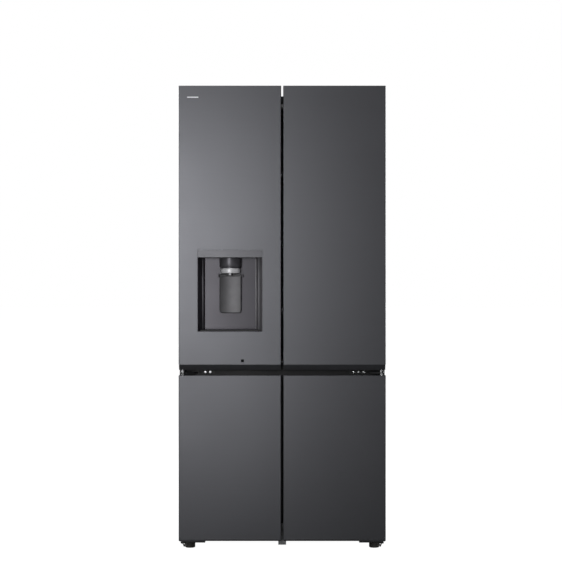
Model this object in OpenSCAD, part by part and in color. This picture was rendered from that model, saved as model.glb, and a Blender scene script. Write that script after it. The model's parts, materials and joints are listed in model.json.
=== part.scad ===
// Four-door refrigerator: two fridge doors over two freezer doors, with an ice and water dispenser.
// The front faces -Y, X runs across it and Z is up from the floor, in millimetres.

/* [Overall] */
// Width over the cabinet sides and over the doors
overall_w = 835; // [700:5:1005]
// Height from the floor to the top edge of the upper doors
overall_h = 1875; // [1565:5:2250]
// Depth from the door fronts to the rear spacers
overall_d = 734; // [660:2:880]
// How far the door tops stand above the cabinet top
cabinet_drop = 35; // [32:1:45]
// Depth of the rear spacers behind the rear panel
rear_space = 20; // [10:1:30]

/* [Doors] */
// Thickness of a door from its steel front to the back of its liner
door_t = 62; // [52:1:75]
// Clear gap between the left and the right doors
door_gap = 8; // [6:0.5:12]
// Height of the lower doors' bottom edge above the floor
door_base = 38; // [34:1:44]
// Height of the lower doors
lower_door_h = 668; // [556:4:802]
// Clear height between the lower and the upper doors, where the centre hinges show
hinge_gap = 23; // [21:1:28]
// Height of the grip cap that shows below the upper doors' fronts
grip_h = 22; // [18:1:27]
// Sheet thickness of the door fronts
skin_t = 1; // [0.6:0.1:1.4]
// Radius of the door fronts' long edges
skin_r = 3; // [2:0.5:5]
// Thickness of the moulded liners
liner_t = 2; // [1.6:0.1:2.4]
// Thickness of the magnetic gaskets
gasket_t = 12; // [10:0.5:14]
// Width of the magnetic gaskets
gasket_w = 16; // [12:1:18]

/* [Hinges] */
// Distance of the hinge pins from the cabinet sides
hinge_in = 16.5; // [14:0.5:20]
// Distance of the hinge pins behind the door fronts
hinge_back = 24; // [22:0.5:28]
// Radius of the hinge pins
pin_r = 5; // [4:0.25:6]
// Radial clearance of the pins in their bores
pin_fit = 0.05; // [0.02:0.01:0.1]
// Thickness of the hinge plates
hinge_t = 4; // [3:0.5:5]

/* [Cabinet] */
// Insulated thickness of the side walls
side_wall = 45; // [38:1:54]
// Insulated thickness of the top wall
top_wall = 45; // [38:1:54]
// Insulated thickness of the rear wall
back_wall = 50; // [42:1:60]
// Width of the divider between the freezer compartments
divider_w = 70; // [58:2:84]
// Thickness of the cabinet's steel sheet
sheet_t = 0.8; // [0.6:0.1:1.4]
// Height of the machine room at the rear
room_h = 253; // [211:1:303]
// Depth of the machine room
room_d = 158; // [150:1:189]

/* [Dispenser] */
// Width of the dispenser opening
disp_w = 262; // [218:1:300]
// Height of the dispenser opening with its display strip
disp_h = 330; // [275:1:396]
// Depth of the dispenser recess
disp_d = 80; // [70:1:84]
// Height of the opening above the upper door's bottom edge
disp_rise = 154; // [140:2:185]
// Height of the display strip
strip_h = 30.5; // [26:0.5:36]
// Radius of the ice chute's housing
nozzle_r = 44; // [38:0.5:48]
// Height of the ice chute's housing
nozzle_h = 43; // [36:1:52]
// Width of the paddle
paddle_w = 88; // [74:1:104]
// Height of the paddle
paddle_h = 160; // [134:1:190]

/* [Inside] */
// Depth of the door bins
bin_d = 98; // [82:1:110]
// Height of a door bin
bin_h = 85; // [72:1:102]
// Wall of the drawers and bins
tub_t = 2.5; // [2:0.1:3]
// Thickness of the glass shelves
glass_t = 4; // [3:0.5:5]
// Height of the crisper drawers
crisper_h = 190; // [160:2:228]

/* [Feet] */
// Radius of a levelling foot
foot_r = 21; // [18:0.5:25]
// Distance of the levelling feet's centres from the cabinet sides
foot_in = 41.5; // [40:0.5:58]
// Radius of a rear roller
roller_r = 20; // [17:0.5:21]

/* [Hidden] */
$fn = 48;
eps = 0.01;
past = 1; // how far a cutting shape runs past what it cuts

// Planes of the cabinet
half_w = overall_w / 2;
front_y = -overall_d / 2;
door_back = front_y + door_t;
face_y = door_back + gasket_t;
rear_y = overall_d / 2 - rear_space;
cab_top = overall_h - cabinet_drop;
base_z = door_base + 12;
base_t = 1.5;

// Planes of the doors
lower_z1 = door_base + lower_door_h;
upper_z0 = lower_z1 + hinge_gap;
skin_z0 = upper_z0 + grip_h;
door_x0 = -half_w;
door_x1 = -door_gap / 2;
door_cx = (door_x0 + door_x1) / 2;
pin_x = -half_w + hinge_in;
pin_y = front_y + hinge_back;
seal_in = 12; // from a door's edge to its gasket at the top, bottom and centre

// Compartments
flange_w = 32; // steel front flange of the shell
in_x = half_w - side_wall;
rail_lap = 33;
mullion_d = 14;
fridge_z0 = upper_z0 + rail_lap - 2;
fridge_z1 = cab_top - top_wall;
freezer_z0 = base_z + 53;
freezer_z1 = lower_z1 - rail_lap;
div_x = divider_w / 2;
liner_y = rear_y - back_wall;
room_top = base_z + room_h;
room_y = rear_y - room_d;
step_y = room_y - 46;   // back of the freezer's lower part, in front of the machine room
step_z = room_top + 18; // floor of the evaporator chamber
evap_d = 64;
cover_y = liner_y - evap_d;

// Inner door panels
dyke_w = 15;
dyke_d = 75;
dyke_out = 10; // from the compartment wall to the dyke
dyke_x0 = -in_x + dyke_out;
dyke_x1 = -45;
shelf_y0 = door_back + bin_d + 22;
shelf_y1 = liner_y - 17;

// Shelf heights
crisper_z = fridge_z0 + crisper_h + 15;
mid_shelf_z = crisper_z + (fridge_z1 - crisper_z) * 0.36;
top_shelf_z = crisper_z + (fridge_z1 - crisper_z) * 0.68;

// Dispenser
disp_z0 = upper_z0 + disp_rise;
disp_z1 = disp_z0 + disp_h;
pocket_z1 = disp_z1 - strip_h;
disp_back = front_y + disp_d;
disp_wall = 2.5;
pocket_taper = 25;
nozzle_y = front_y + 50;
nozzle_z0 = pocket_z1 - nozzle_h;
ring_h = 20;
ring_r = nozzle_r - 3;
chute_r = 28;
paddle_z1 = nozzle_z0 - ring_h - 2;
paddle_pin_z = paddle_z1 - 8;
paddle_pin_y = disp_back - 22;
paddle_curve = 120;

// Ice room on the left door
ice_x0 = dyke_x0 + dyke_w + 1;
ice_x1 = dyke_x1 - dyke_w - 1;
ice_z0 = disp_z1 + 24;
ice_z1 = fridge_z1 - 30;
ice_y1 = door_back + 100;
ice_wall = 10;
auger_x = (ice_x0 + ice_x1) / 2;
auger_y = door_back + 46;

// Flipper mullion
flip_w = 68;
flip_t = 18;
flip_x = -25;
flip_y = face_y + flip_t / 2 + 1.6;
flip_z0 = fridge_z0 + 18;
flip_z1 = fridge_z1 - 18;

// Feet and rollers
foot_x = half_w - foot_in;
foot_y = face_y + 20;
roller_x = half_w - 78;
roller_y = rear_y - 47;
plate_z = door_base - 11; // underside of the bottom hinge plate
foot_h = plate_z - 4; // the cup ends just under that plate

// Colours
steel_black = [0.25, 0.26, 0.28];
trim_black = [0.08, 0.08, 0.09];
liner_white = [0.92, 0.93, 0.94];
zinc = [0.72, 0.73, 0.75];
clear = [0.85, 0.9, 0.93, 0.4];

// ---------- shapes that repeat ----------

// A block between two corners
module block(x, y, z) {
    translate([x[0], y[0], z[0]]) cube([x[1] - x[0], y[1] - y[0], z[1] - z[0]]);
}

// A rectangle with round corners
module round_rect(x, y, r) {
    translate([x[0] + r, y[0]]) square([x[1] - x[0] - 2 * r, y[1] - y[0]]);
    translate([x[0], y[0] + r]) square([x[1] - x[0], y[1] - y[0] - 2 * r]);
    for (cx = [x[0] + r, x[1] - r])
        for (cy = [y[0] + r, y[1] - r])
            translate([cx, cy]) circle(r);
}

// An upright block with round vertical edges
module round_block(x, y, z, r) {
    translate([0, 0, z[0]]) linear_extrude(z[1] - z[0]) round_rect(x, y, r);
}

// An open tub with a floor
module tub(x, y, z, r = 8, wall = tub_t) {
    difference() {
        round_block(x, y, z, r);
        round_block([x[0] + wall, x[1] - wall], [y[0] + wall, y[1] - wall],
            [z[0] + wall, z[1] + past], r - wall);
    }
}

// An outline in Y and Z, run along X
module along_x(x, points) {
    translate([x[0], 0, 0]) rotate([90, 0, 90]) linear_extrude(x[1] - x[0]) polygon(points);
}

// A cylinder along X or Y
module rod_x(x, y, z, r) {
    translate([x[0], y, z]) rotate([0, 90, 0]) cylinder(h = x[1] - x[0], r = r);
}
module rod_y(x, y, z, r) {
    translate([x, y[1], z]) rotate([90, 0, 0]) cylinder(h = y[1] - y[0], r = r);
}
module rod_z(x, y, z, r) {
    translate([x, y, z[0]]) cylinder(h = z[1] - z[0], r = r);
}

// The left-hand shape, or its mirror on the right
module on_side(right) {
    if (right) mirror([1, 0, 0]) children();
    else children();
}
module both_sides() {
    children();
    mirror([1, 0, 0]) children();
}

// ---------- cabinet ----------

// Steel wrap of the sides and top, with a front flange
module outer_shell() color(steel_black) difference() {
    block([-half_w, half_w], [face_y, rear_y], [base_z, cab_top]);
    block([-half_w + sheet_t, half_w - sheet_t], [face_y + sheet_t, rear_y + past],
        [base_z - past, cab_top - sheet_t]);
    block([-half_w + flange_w, half_w - flange_w], [face_y - past, face_y + 2 * sheet_t],
        [base_z - past, cab_top - flange_w]);
    both_sides() for (i = [0:2])
        rod_z(hinge_bolt_x(i), hinge_bolt_y(i), [cab_top - 2 * sheet_t, cab_top + past], bolt_hole_r);
}

module rear_panel() color(zinc) {
    difference() {
        block([-half_w + sheet_t, half_w - sheet_t], [rear_y - sheet_t, rear_y],
            [room_top, cab_top - sheet_t]);
        for (i = [0:3])
            rod_y(-half_w + 60, [rear_y - 2 * sheet_t, rear_y + past], room_top + 40 + i * 40, 4);
    }
    for (x = [-half_w + 70, half_w - 70 - 40])
        block([x, x + 40], [rear_y, rear_y + rear_space], [cab_top - 190, cab_top - 150]);
}

// One ear pair and axle that carry a rear roller
module roller_fork() {
    for (x = [roller_x - 15, roller_x + 12])
        block([x, x + 3], [roller_y - 14, roller_y + 14], [roller_r - 9, base_z + eps]);
    rod_x([roller_x - 15, roller_x + 15], roller_y, roller_r, axle_r);
}
axle_r = 4;

// Base pan with the machine room's front wall and ceiling
module base_frame() color(zinc) {
    inner_x = half_w - sheet_t;
    difference() {
        union() {
            block([-inner_x, inner_x], [face_y + sheet_t, rear_y], [base_z, base_z + base_t]);
            block([-half_w + flange_w, half_w - flange_w], [face_y, face_y + base_t],
                [base_z, freezer_z0 - liner_t]);
            block([-inner_x, inner_x], [room_y, room_y + base_t], [base_z, room_top]);
            block([-inner_x, inner_x], [room_y, rear_y], [room_top - base_t, room_top]);
            block([-16, 16], [face_y, face_y + 20], [door_base - 25, base_z + eps]);
            both_sides() block([-inner_x, -inner_x + base_t], [room_y, rear_y], [base_z, room_top]);
            both_sides() roller_fork();
            both_sides() rod_z(foot_x, foot_y, [base_z, base_z + 14], 11);
            // bracket, motor and shaft of the condenser fan
            block([cond_fan_x - 42, cond_fan_x - 39], [room_cy - 20, room_cy + 20],
                [base_z, cond_fan_z + 24]);
            rod_x([cond_fan_x - 40, cond_fan_x - 14], room_cy, cond_fan_z, 18);
            rod_x([cond_fan_x - 15, cond_fan_x + 14], room_cy, cond_fan_z, fan_pin_r);
        }
        both_sides() rod_z(foot_x, foot_y, [base_z - past, base_z + 14 + past], pin_r + pin_fit);
    }
}

// Foam between the shell and the liners
module cabinet_insulation() color([0.93, 0.86, 0.6]) {
    inner_x = half_w - sheet_t;
    difference() {
        block([-inner_x, inner_x], [face_y + max(base_t, liner_t), rear_y - sheet_t],
            [base_z + base_t, cab_top - sheet_t]);
        block([-inner_x - past, inner_x + past], [room_y, rear_y], [base_z, room_top]);
        block([-in_x - liner_t, in_x + liner_t], [face_y, liner_y + liner_t],
            [fridge_z0 - liner_t, fridge_z1 + liner_t]);
        difference() {
            freezer_solid();
            divider_core();
        }
        block([-div_x, div_x], [face_y, face_y + mullion_d + 1],
            [freezer_z0 - liner_t, freezer_z1 + liner_t]);
        both_sides() rod_z(foot_x, foot_y, [base_z, base_z + 40], 12);
        block([-half_w + flange_w - past, half_w - flange_w + past], [face_y, face_y + 20],
            [freezer_z1 + liner_t, fridge_z0 - liner_t]);
        both_sides() for (i = [0:2]) rod_z(hinge_bolt_x(i), hinge_bolt_y(i), [cab_top - 14, cab_top],
            bolt_hole_r);
        block([-120, 120], [-60, 60], [fridge_z1, fridge_z1 + 8]);
    }
}

// Where the top hinge plate is bolted to the cabinet top
bolt_hole_r = 4.2;
function hinge_bolt_x(i) = -half_w + [26, 74, 74][i];
function hinge_bolt_y(i) = face_y + [62, 30, 62][i];

module fridge_liner() color(liner_white) {
    rim_x = half_w - flange_w;
    rim_z = cab_top - flange_w;
    difference() {
        union() {
            block([-in_x - liner_t, in_x + liner_t], [face_y, liner_y + liner_t],
                [fridge_z0 - liner_t, fridge_z1 + liner_t]);
            block([-rim_x, rim_x], [face_y, face_y + liner_t], [fridge_z0, rim_z]);
        }
        block([-in_x, in_x], [face_y - past, liner_y], [fridge_z0, fridge_z1]);
        block([-in_x - 3, in_x + 3], [face_y - past, face_y + liner_t], [fridge_z0 - 3, fridge_z0]);
    }
    // ledges that carry the shelves
    both_sides() for (z = [crisper_z, mid_shelf_z, top_shelf_z])
        block([-in_x, -in_x + 9], [shelf_y0 + 12, shelf_y1], [z - 20, z - 10]);
    // rails that the retractable shelf slides on
    both_sides() block([-in_x, -in_x + 16], [shelf_y0 + 12, shelf_y1], [slide_z - 12.3, slide_z - 4.3]);
    // guide block of the flipper mullion
    block([-22, 22], [face_y + 20, face_y + 60], [fridge_z1 - 10, fridge_z1]);
}

// Outer volume of both freezer tubs and the evaporator chamber
module freezer_solid() {
    block([-in_x - liner_t, in_x + liner_t], [face_y, step_y + liner_t],
        [freezer_z0 - liner_t, freezer_z1 + liner_t]);
    block([-in_x - liner_t, in_x + liner_t], [step_y, liner_y + liner_t],
        [step_z - liner_t, freezer_z1 + liner_t]);
}

// Foam-filled core of the divider
module divider_core() block([-div_x + liner_t, div_x - liner_t], [face_y - past, cover_y - liner_t],
    [freezer_z0 - liner_t - past, freezer_z1 + liner_t + past]);

module freezer_liner() color(liner_white) {
    rim_x = half_w - flange_w;
    difference() {
        union() {
            freezer_solid();
            block([-rim_x, rim_x], [face_y, face_y + liner_t], [freezer_z0 - liner_t, freezer_z1]);
        }
        both_sides() {
            block([div_x, in_x], [face_y - past, step_y], [freezer_z0, freezer_z1]);
            block([div_x, in_x], [step_y - past, cover_y + past], [step_z, freezer_z1]);
        }
        block([-in_x, in_x], [cover_y, liner_y], [step_z, freezer_z1]);
        divider_core();
    }
    // runners of the drawers
    both_sides() for (i = [1, 2]) for (x = [div_x, in_x - 6])
        block([x, x + 6], [face_y + 20, cover_y - 10], [drawer_z(i) - 9, drawer_z(i) - 3]);
}

// Painted cross rail between the fridge and the freezer
module mid_rail() color(trim_black) {
    z0 = freezer_z1 + liner_t;
    z1 = fridge_z0 - liner_t;
    x = half_w - flange_w;
    difference() {
        union() {
            block([-x, x], [face_y, face_y + 2], [z0 + eps, z1 - eps]);
            block([-x, x], [face_y, face_y + 18], [z0 + 2, z0 + 4]);
            block([-x, x], [face_y, face_y + 18], [z1 - 4, z1 - 2]);
        }
        both_sides() for (i = [0:2])
            rod_y(center_bolt_x(i), [face_y - past, face_y + 2 + past], center_bolt_z, 3.1);
    }
}

// Front cover of the divider between the freezer compartments
module freezer_mullion() color(trim_black) difference() {
    x = div_x - liner_t - 0.1;
    z = [freezer_z0 - liner_t + 0.1, freezer_z1 + liner_t - 0.1];
    block([-x, x], [face_y, face_y + mullion_d], z);
    block([-x + 2, x - 2], [face_y + 2, face_y + mullion_d + past], z + [-past, past]);
}

// ---------- hinges ----------

center_bolt_z = lower_z1 + hinge_gap / 2 - 0.5;
function center_bolt_x(i) = -half_w + [84, 105, 125][i];

// Arm from a hinge pin back to the cabinet, and the plate that it widens into
module hinge_outline(back, wide) {
    arm = 9;
    translate([pin_x, pin_y]) circle(arm);
    translate([pin_x - arm, pin_y]) square([2 * arm, face_y + back - pin_y]);
    translate([pin_x - arm, face_y + 5]) square([wide, back - 5]);
}

module top_hinges() color(zinc) both_sides() {
    difference() {
        translate([0, 0, cab_top]) linear_extrude(hinge_t) hinge_outline(78, 76);
        for (i = [0:2]) rod_z(hinge_bolt_x(i), hinge_bolt_y(i),
            [cab_top - past, cab_top + hinge_t + past], bolt_hole_r);
    }
    rod_z(pin_x, pin_y, [cab_top - 35, cab_top + eps], pin_r);
}

module hinge_covers() color(trim_black) both_sides() difference() {
    x0 = -half_w + 3;
    round_block([x0, x0 + 100], [face_y + 1, face_y + 96], [cab_top, cab_top + 29], 6);
    round_block([x0 + 2.5, x0 + 97.5], [face_y + 3.5, face_y + 93.5], [cab_top - past, cab_top + 26.5], 4);
    block([pin_x - 12, pin_x + 12], [face_y - past, face_y + 12], [cab_top - past, cab_top + hinge_t + 2]);
}

// Plate in the gap between the doors, with a pin up and a pin down, bolted to the mid rail
module center_hinges() color(trim_black) both_sides() {
    z0 = lower_z1 + 8;
    z1 = z0 + hinge_t;
    tab_x0 = -half_w + 52;
    tab_x1 = -half_w + 142;
    arm_x1 = center_bolt_x(0) - 9;
    difference() {
        union() {
            translate([0, 0, z0]) linear_extrude(hinge_t) {
                translate([pin_x, pin_y]) circle(10.5);
                polygon([[pin_x - 10.5, pin_y], [pin_x - 10.5, face_y], [arm_x1, face_y],
                    [arm_x1, face_y - 8],
                    [arm_x1 - 14, pin_y + 6], [pin_x + 8, pin_y - 6.8]]);
            }
            block([tab_x0, tab_x1], [face_y - 3, face_y], [lower_z1 + 3, upper_z0 - 2]);
        }
        for (i = [0:2]) rod_y(center_bolt_x(i), [face_y - 12, face_y + past], center_bolt_z, 3.1);
    }
    rod_z(pin_x, pin_y, [z1 - eps, upper_z0 + 21], pin_r);
    rod_z(pin_x, pin_y, [z1 - eps, upper_z0 - 0.5], 8.5);
    rod_z(pin_x, pin_y, [lower_z1 - 21, z0 + eps], pin_r);
    rod_z(pin_x, pin_y, [lower_z1 + 0.5, z0 + eps], 6.5);
}

// Plate under the lower door with its pin, a riser to the base and a pointed front lug
module bottom_hinges() color(trim_black) both_sides() {
    z1 = plate_z + hinge_t;
    plate_x1 = -half_w + 105;
    lug_x = -half_w + 20;
    difference() {
        union() {
            translate([0, 0, plate_z]) linear_extrude(hinge_t) {
                translate([pin_x, pin_y]) circle(10);
                translate([pin_x - 10, pin_y]) square([20, foot_y + 30 - pin_y]);
                translate([pin_x - 10, pin_y + 16]) square([plate_x1 - pin_x + 10, foot_y + 14 - pin_y]);
            }
            block([plate_x1 - 3, plate_x1], [foot_y - 14, foot_y + 30], [plate_z, base_z]);
            block([pin_x - 10, pin_x - 7], [face_y + 1, foot_y + 30], [plate_z, base_z]);
        }
        rod_z(-foot_x, foot_y, [plate_z - past, z1 + past], pin_r + 0.6);
    }
    rod_z(pin_x, pin_y, [z1 - eps, door_base + 25], pin_r);
    rod_z(pin_x, pin_y, [z1 - eps, door_base - 0.5], 8.5);
    // pointed lug that hangs from the plate's front edge
    translate([0, pin_y + 19, 0]) rotate([90, 0, 0]) linear_extrude(3) difference() {
        polygon([[lug_x - 9, plate_z + eps], [lug_x + 9, plate_z + eps], [lug_x + 1.5, plate_z - 17],
            [lug_x - 1.5, plate_z - 17]]);
        translate([lug_x, plate_z - 4]) circle(2.6);
    }
}

// Bolts of the top, centre and bottom hinges
module hinge_bolts() color(zinc) both_sides() {
    for (i = [0:2]) {
        rod_z(hinge_bolt_x(i), hinge_bolt_y(i), [cab_top - 12, cab_top + hinge_t + eps], 4);
        translate([hinge_bolt_x(i), hinge_bolt_y(i), cab_top + hinge_t]) cylinder(h = 5, r = 7, $fn = 6);
        rod_y(center_bolt_x(i), [face_y - 3 - eps, face_y + 12], center_bolt_z, 2.9);
        rod_y(center_bolt_x(i), [face_y - 8.5, face_y - 3], center_bolt_z, 5.6);
    }
}

// ---------- feet and rollers ----------

module levelling_foot(right) color(trim_black) on_side(right) {
    translate([-foot_x, foot_y, 0]) {
        rotate_extrude() {
            square([foot_r - 4, foot_h]);
            translate([0, 4]) square([foot_r, foot_h - 4]);
            translate([foot_r - 4, 4]) circle(4);
        }
        cylinder(h = foot_h + 2, r = 11, $fn = 6);
        cylinder(h = base_z + 12, r = pin_r);
    }
}

module rear_roller(right) color(trim_black) on_side(right)
    translate([-roller_x, roller_y, roller_r]) rotate([0, 90, 0]) difference() {
        union() {
            cylinder(h = 20, r = roller_r, center = true);
            cylinder(h = 23, r = 8, center = true);
        }
        cylinder(h = 30, r = axle_r + pin_fit, center = true);
        for (s = [-1, 1]) translate([0, 0, s * 10]) difference() {
            cylinder(h = 6, r = roller_r - 4, center = true);
            cylinder(h = 8, r = 8, center = true);
        }
    }

// ---------- doors, drawn on the left ----------

// Front sheet with two side returns and round long edges
module skin_outline(inset, y1) {
    r = skin_r - inset;
    x0 = door_x0 + inset;
    x1 = door_x1 - inset;
    y0 = front_y + inset;
    translate([x0, y0 + r]) square([x1 - x0, y1 - y0 - r]);
    translate([x0 + r, y0]) square([x1 - x0 - 2 * r, 2 * r]);
    for (x = [x0 + r, x1 - r]) translate([x, y0 + r]) circle(r);
}

module door_skin(z0, z1) difference() {
    translate([0, 0, z0]) linear_extrude(z1 - z0) skin_outline(0, door_back - 2);
    translate([0, 0, z0 - past]) linear_extrude(z1 - z0 + 2 * past) skin_outline(skin_t, door_back);
}

// Room inside a door's skin, a little clear of it
module skin_room(z0, z1) translate([0, 0, z0]) linear_extrude(z1 - z0)
    skin_outline(cap_in, door_back + past);

// Corner that is left free for the top hinge's arm
notch_x = hinge_in + 14;
notch_y = front_y + 6;
notch_z = cab_top - 5;
module hinge_notch() {
    block([door_x0 - past, door_x0 + notch_x], [notch_y, door_back + past], [notch_z, overall_h + past]);
}

module upper_skin() difference() {
    door_skin(skin_z0, overall_h);
    hinge_notch();
}

module upper_left_skin() color(steel_black) difference() {
    upper_skin();
    block([door_cx - disp_w / 2, door_cx + disp_w / 2], [front_y - past, front_y + 5], [disp_z0, disp_z1]);
    block(sensor_x, [front_y - past, front_y + 5], sensor_z);
}

// Top cap, closed above, with the block that holds the hinge pin
cap_in = skin_t + 0.2;
module top_cap() {
    x = [door_x0 + cap_in, door_x1 - cap_in];
    y = [front_y + cap_in, door_back - 0.2];
    z1 = overall_h - 2;
    block_x1 = door_x0 + notch_x + 14;
    difference() {
        union() {
            block(x, y, [notch_z - 4, z1]);
            block([x[0], block_x1], y, [notch_z - 34, notch_z]);
        }
        block([block_x1, x[1] - 3], [y[0] + 3, y[1] - 3], [notch_z - 5, z1 - 3]);
        hinge_notch();
        rod_z(pin_x, pin_y, [cab_top - 38, overall_h], pin_r + pin_fit);
    }
}

// Bottom cap: a sloped front band, and a finger grip that opens downwards behind it
module grip_cap() {
    x = [door_x0 + cap_in, door_x1 - cap_in];
    y0 = front_y + 3;
    y1 = door_back - 0.2;
    z0 = upper_z0;
    band = [[y0 - 1.8, skin_z0], [y0, skin_z0], [y0, skin_z0 - 5], [y0 + 9, z0], [y0 + 14, z0],
        [y0 + 14, skin_z0 + 4], [y1 - 18, skin_z0 + 12], [y1 - 18, z0], [y1, z0], [y1, skin_z0 + 16],
        [y0 - 1.8, skin_z0 + 16]];
    ends = [[y0 - 1.8, skin_z0], [y0, skin_z0], [y0, skin_z0 - 5], [y0 + 9, z0], [y1, z0],
        [y1, skin_z0 + 16], [y0 - 1.8, skin_z0 + 16]];
    difference() {
        union() {
            along_x(x, band);
            along_x([x[0], door_x0 + notch_x + 14], ends);
            along_x([x[1] - 14, x[1]], ends);
        }
        rod_z(pin_x, pin_y, [z0 - past, z0 + 24], pin_r + pin_fit);
    }
}

module upper_caps() intersection() {
    union() {
        top_cap();
        grip_cap();
    }
    skin_room(upper_z0 - past, overall_h);
}

// Frame that stands up from a liner around the bins
module dyke(z0, z1, depth) difference() {
    block([dyke_x0, dyke_x1], [door_back - eps, door_back + depth], [z0, z1]);
    block([dyke_x0 + dyke_w, dyke_x1 - dyke_w], [door_back - past, door_back + depth + past],
        [z0 + dyke_w, z1 - dyke_w]);
    block([dyke_x0 + liner_t, dyke_x1 - liner_t], [door_back - past, door_back + depth - liner_t],
        [z0 + liner_t, z0 + dyke_w - liner_t]);
    block([dyke_x0 + liner_t, dyke_x1 - liner_t], [door_back - past, door_back + depth - liner_t],
        [z1 - dyke_w + liner_t, z1 - liner_t]);
    for (x = [dyke_x0 + liner_t, dyke_x1 - dyke_w + liner_t])
        block([x, x + dyke_w - 2 * liner_t], [door_back - past, door_back + depth - liner_t],
            [z0 + liner_t, z1 - liner_t]);
}

upper_dyke_z = [fridge_z0 + 8, fridge_z1 - 8];
module upper_plate() {
    block([door_x0 + cap_in, door_x1 - cap_in], [door_back - liner_t + 0.2, door_back],
        [skin_z0 + 16.2, notch_z - 34.2]);
}

module upper_right_liner_shape() {
    upper_plate();
    dyke(upper_dyke_z[0], upper_dyke_z[1], dyke_d);
    // ledges that the bins hook on
    for (i = [0:3]) for (x = [dyke_x0 + dyke_w - eps, dyke_x1 - dyke_w - 3 + eps])
        block([x, x + 3], [door_back, door_back + 50], [bin_z(i) + 12, bin_z(i) + 24]);
}

// Boxed bulge of the left liner behind the dispenser
bulge_x = [door_cx - disp_w / 2 - 7, door_cx + disp_w / 2 + 7];
bulge_z = [disp_z0 - 8, disp_z1 + 8];
bulge_y = disp_back + disp_wall + 6;
module upper_left_liner() color(liner_white) {
    difference() {
        union() {
            upper_plate();
            dyke(upper_dyke_z[0], upper_dyke_z[1], dyke_d);
            block(bulge_x, [door_back - liner_t + 0.2, bulge_y], bulge_z);
        }
        block([bulge_x[0] + liner_t, bulge_x[1] - liner_t], [door_back - liner_t - past, bulge_y - liner_t],
            [bulge_z[0] + liner_t, bulge_z[1] - liner_t]);
    }
    // low bin moulded under the bulge
    difference() {
        block([dyke_x0 + dyke_w - eps, dyke_x1 - dyke_w + eps], [door_back - eps, door_back + bin_d - 10],
            [upper_dyke_z[0] + dyke_w + 2, disp_z0 - 50]);
        block([dyke_x0 + dyke_w + tub_t, dyke_x1 - dyke_w - tub_t],
            [door_back + tub_t, door_back + bin_d - 10 - tub_t],
            [upper_dyke_z[0] + dyke_w + 2 + tub_t, disp_z0]);
    }
    // lugs that carry the flipper
    for (z = [[flip_z0 - 7, flip_z0 - 2], [flip_z1 + 2, flip_z1 + 7]])
        difference() {
            block([dyke_x1 - eps, flip_x + 6], [flip_y - 6, flip_y + 6], z);
            rod_z(flip_x, flip_y, [z[0] - past, z[1] + past], 3);
        }
}

// Magnetic gasket, a ring on the back of the door
module gasket(z0, z1) color([0.35, 0.36, 0.38]) {
    x = [door_x0 + hinge_in, door_x1 - 8];
    difference() {
        block(x, [door_back, face_y], [z0, z1]);
        block([x[0] + gasket_w, x[1] - gasket_w], [door_back - past, face_y + past],
            [z0 + gasket_w, z1 - gasket_w]);
    }
}
module upper_gasket() gasket(upper_z0 + seal_in, cab_top - 13);
module lower_gasket() gasket(base_z + 13, lower_z1 - seal_in);

// The lower skin stops above the bottom cap, whose outer corner stands flush with it
bottom_cap_h = 7;
corner_w = 105;
corner_r = 6;
module lower_skin() door_skin(door_base + bottom_cap_h, lower_z1);

// Outer bottom corner of a lower door, flush with its skin and rounded below
module bottom_corner() difference() {
    intersection() {
        translate([0, 0, door_base]) linear_extrude(bottom_cap_h) skin_outline(0, door_back - 2);
        block([door_x0, door_x0 + corner_w], [front_y, door_back], [door_base, door_base + bottom_cap_h]);
    }
    difference() {
        block([door_x0 - past, door_x0 + corner_r], [front_y - past, door_back],
            [door_base - past, door_base + corner_r]);
        rod_y(door_x0 + corner_r, [front_y - past, door_back + past], door_base + corner_r, corner_r);
    }
}

// Lower liner, moulded in one with the top grip cap and the bottom cap
module lower_liner() {
    x = [door_x0 + cap_in, door_x1 - cap_in];
    y0 = front_y + cap_in;
    y1 = door_back - 0.2;
    z1 = lower_z1 - 2;
    hinge_x1 = door_x0 + notch_x + 14;
    top = [[y0, z1], [y0 + 2.5, z1], [y0 + 2.5, z1 - 24], [y0 + 24, z1 - 24], [y1 - 14, z1 - 4],
        [y1 - 14, z1],
        [y1, z1], [y1, z1 - 30], [y0, z1 - 30]];
    difference() {
        bottom_corner();
        rod_z(pin_x, pin_y, [door_base - past, door_base + bottom_cap_h + past], pin_r + pin_fit);
    }
    difference() {
        intersection() {
            union() {
                along_x(x, top);
                block([x[0], hinge_x1], [y0, y1], [z1 - 30, z1]);
                block([x[1] - 14, x[1]], [y0, y1], [z1 - 30, z1]);
                block(x, [y0, y1], [door_base + bottom_cap_h + 0.5, door_base + bottom_cap_h + 6]);
                block([x[0], hinge_x1], [y0, y1], [door_base + bottom_cap_h, door_base + 32]);
                block(x, [y0 + 5, y1], [door_base + 1, door_base + bottom_cap_h + 1]);
                block(x, [y1 - liner_t, door_back], [door_base + 2, z1]);
            }
            skin_room(door_base, lower_z1);
        }
        rod_z(pin_x, pin_y, [lower_z1 - 24, lower_z1 + past], pin_r + pin_fit);
        rod_z(pin_x, pin_y, [door_base - past, door_base + 28], pin_r + pin_fit);
    }
    dyke(freezer_z0 + 10, freezer_z1 - 10, 10);
}

// Bar that closes the gap between the upper doors, stored folded against the left door
module flipper_mullion() color(trim_black) difference() {
    round_block([flip_x - flip_t / 2, flip_x + flip_t / 2],
        [flip_y - flip_t / 2, flip_y - flip_t / 2 + flip_w],
        [flip_z0, flip_z1], 6);
    for (z = [flip_z0 - past, flip_z1 - 14]) rod_z(flip_x, flip_y, [z, z + 15], 3 + pin_fit);
}

// ---------- dispenser, in the left door ----------

sensor_x = [door_cx + 44.5, door_cx + 56.5];
sensor_z = [skin_z0 + 9, skin_z0 + 21];

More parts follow.
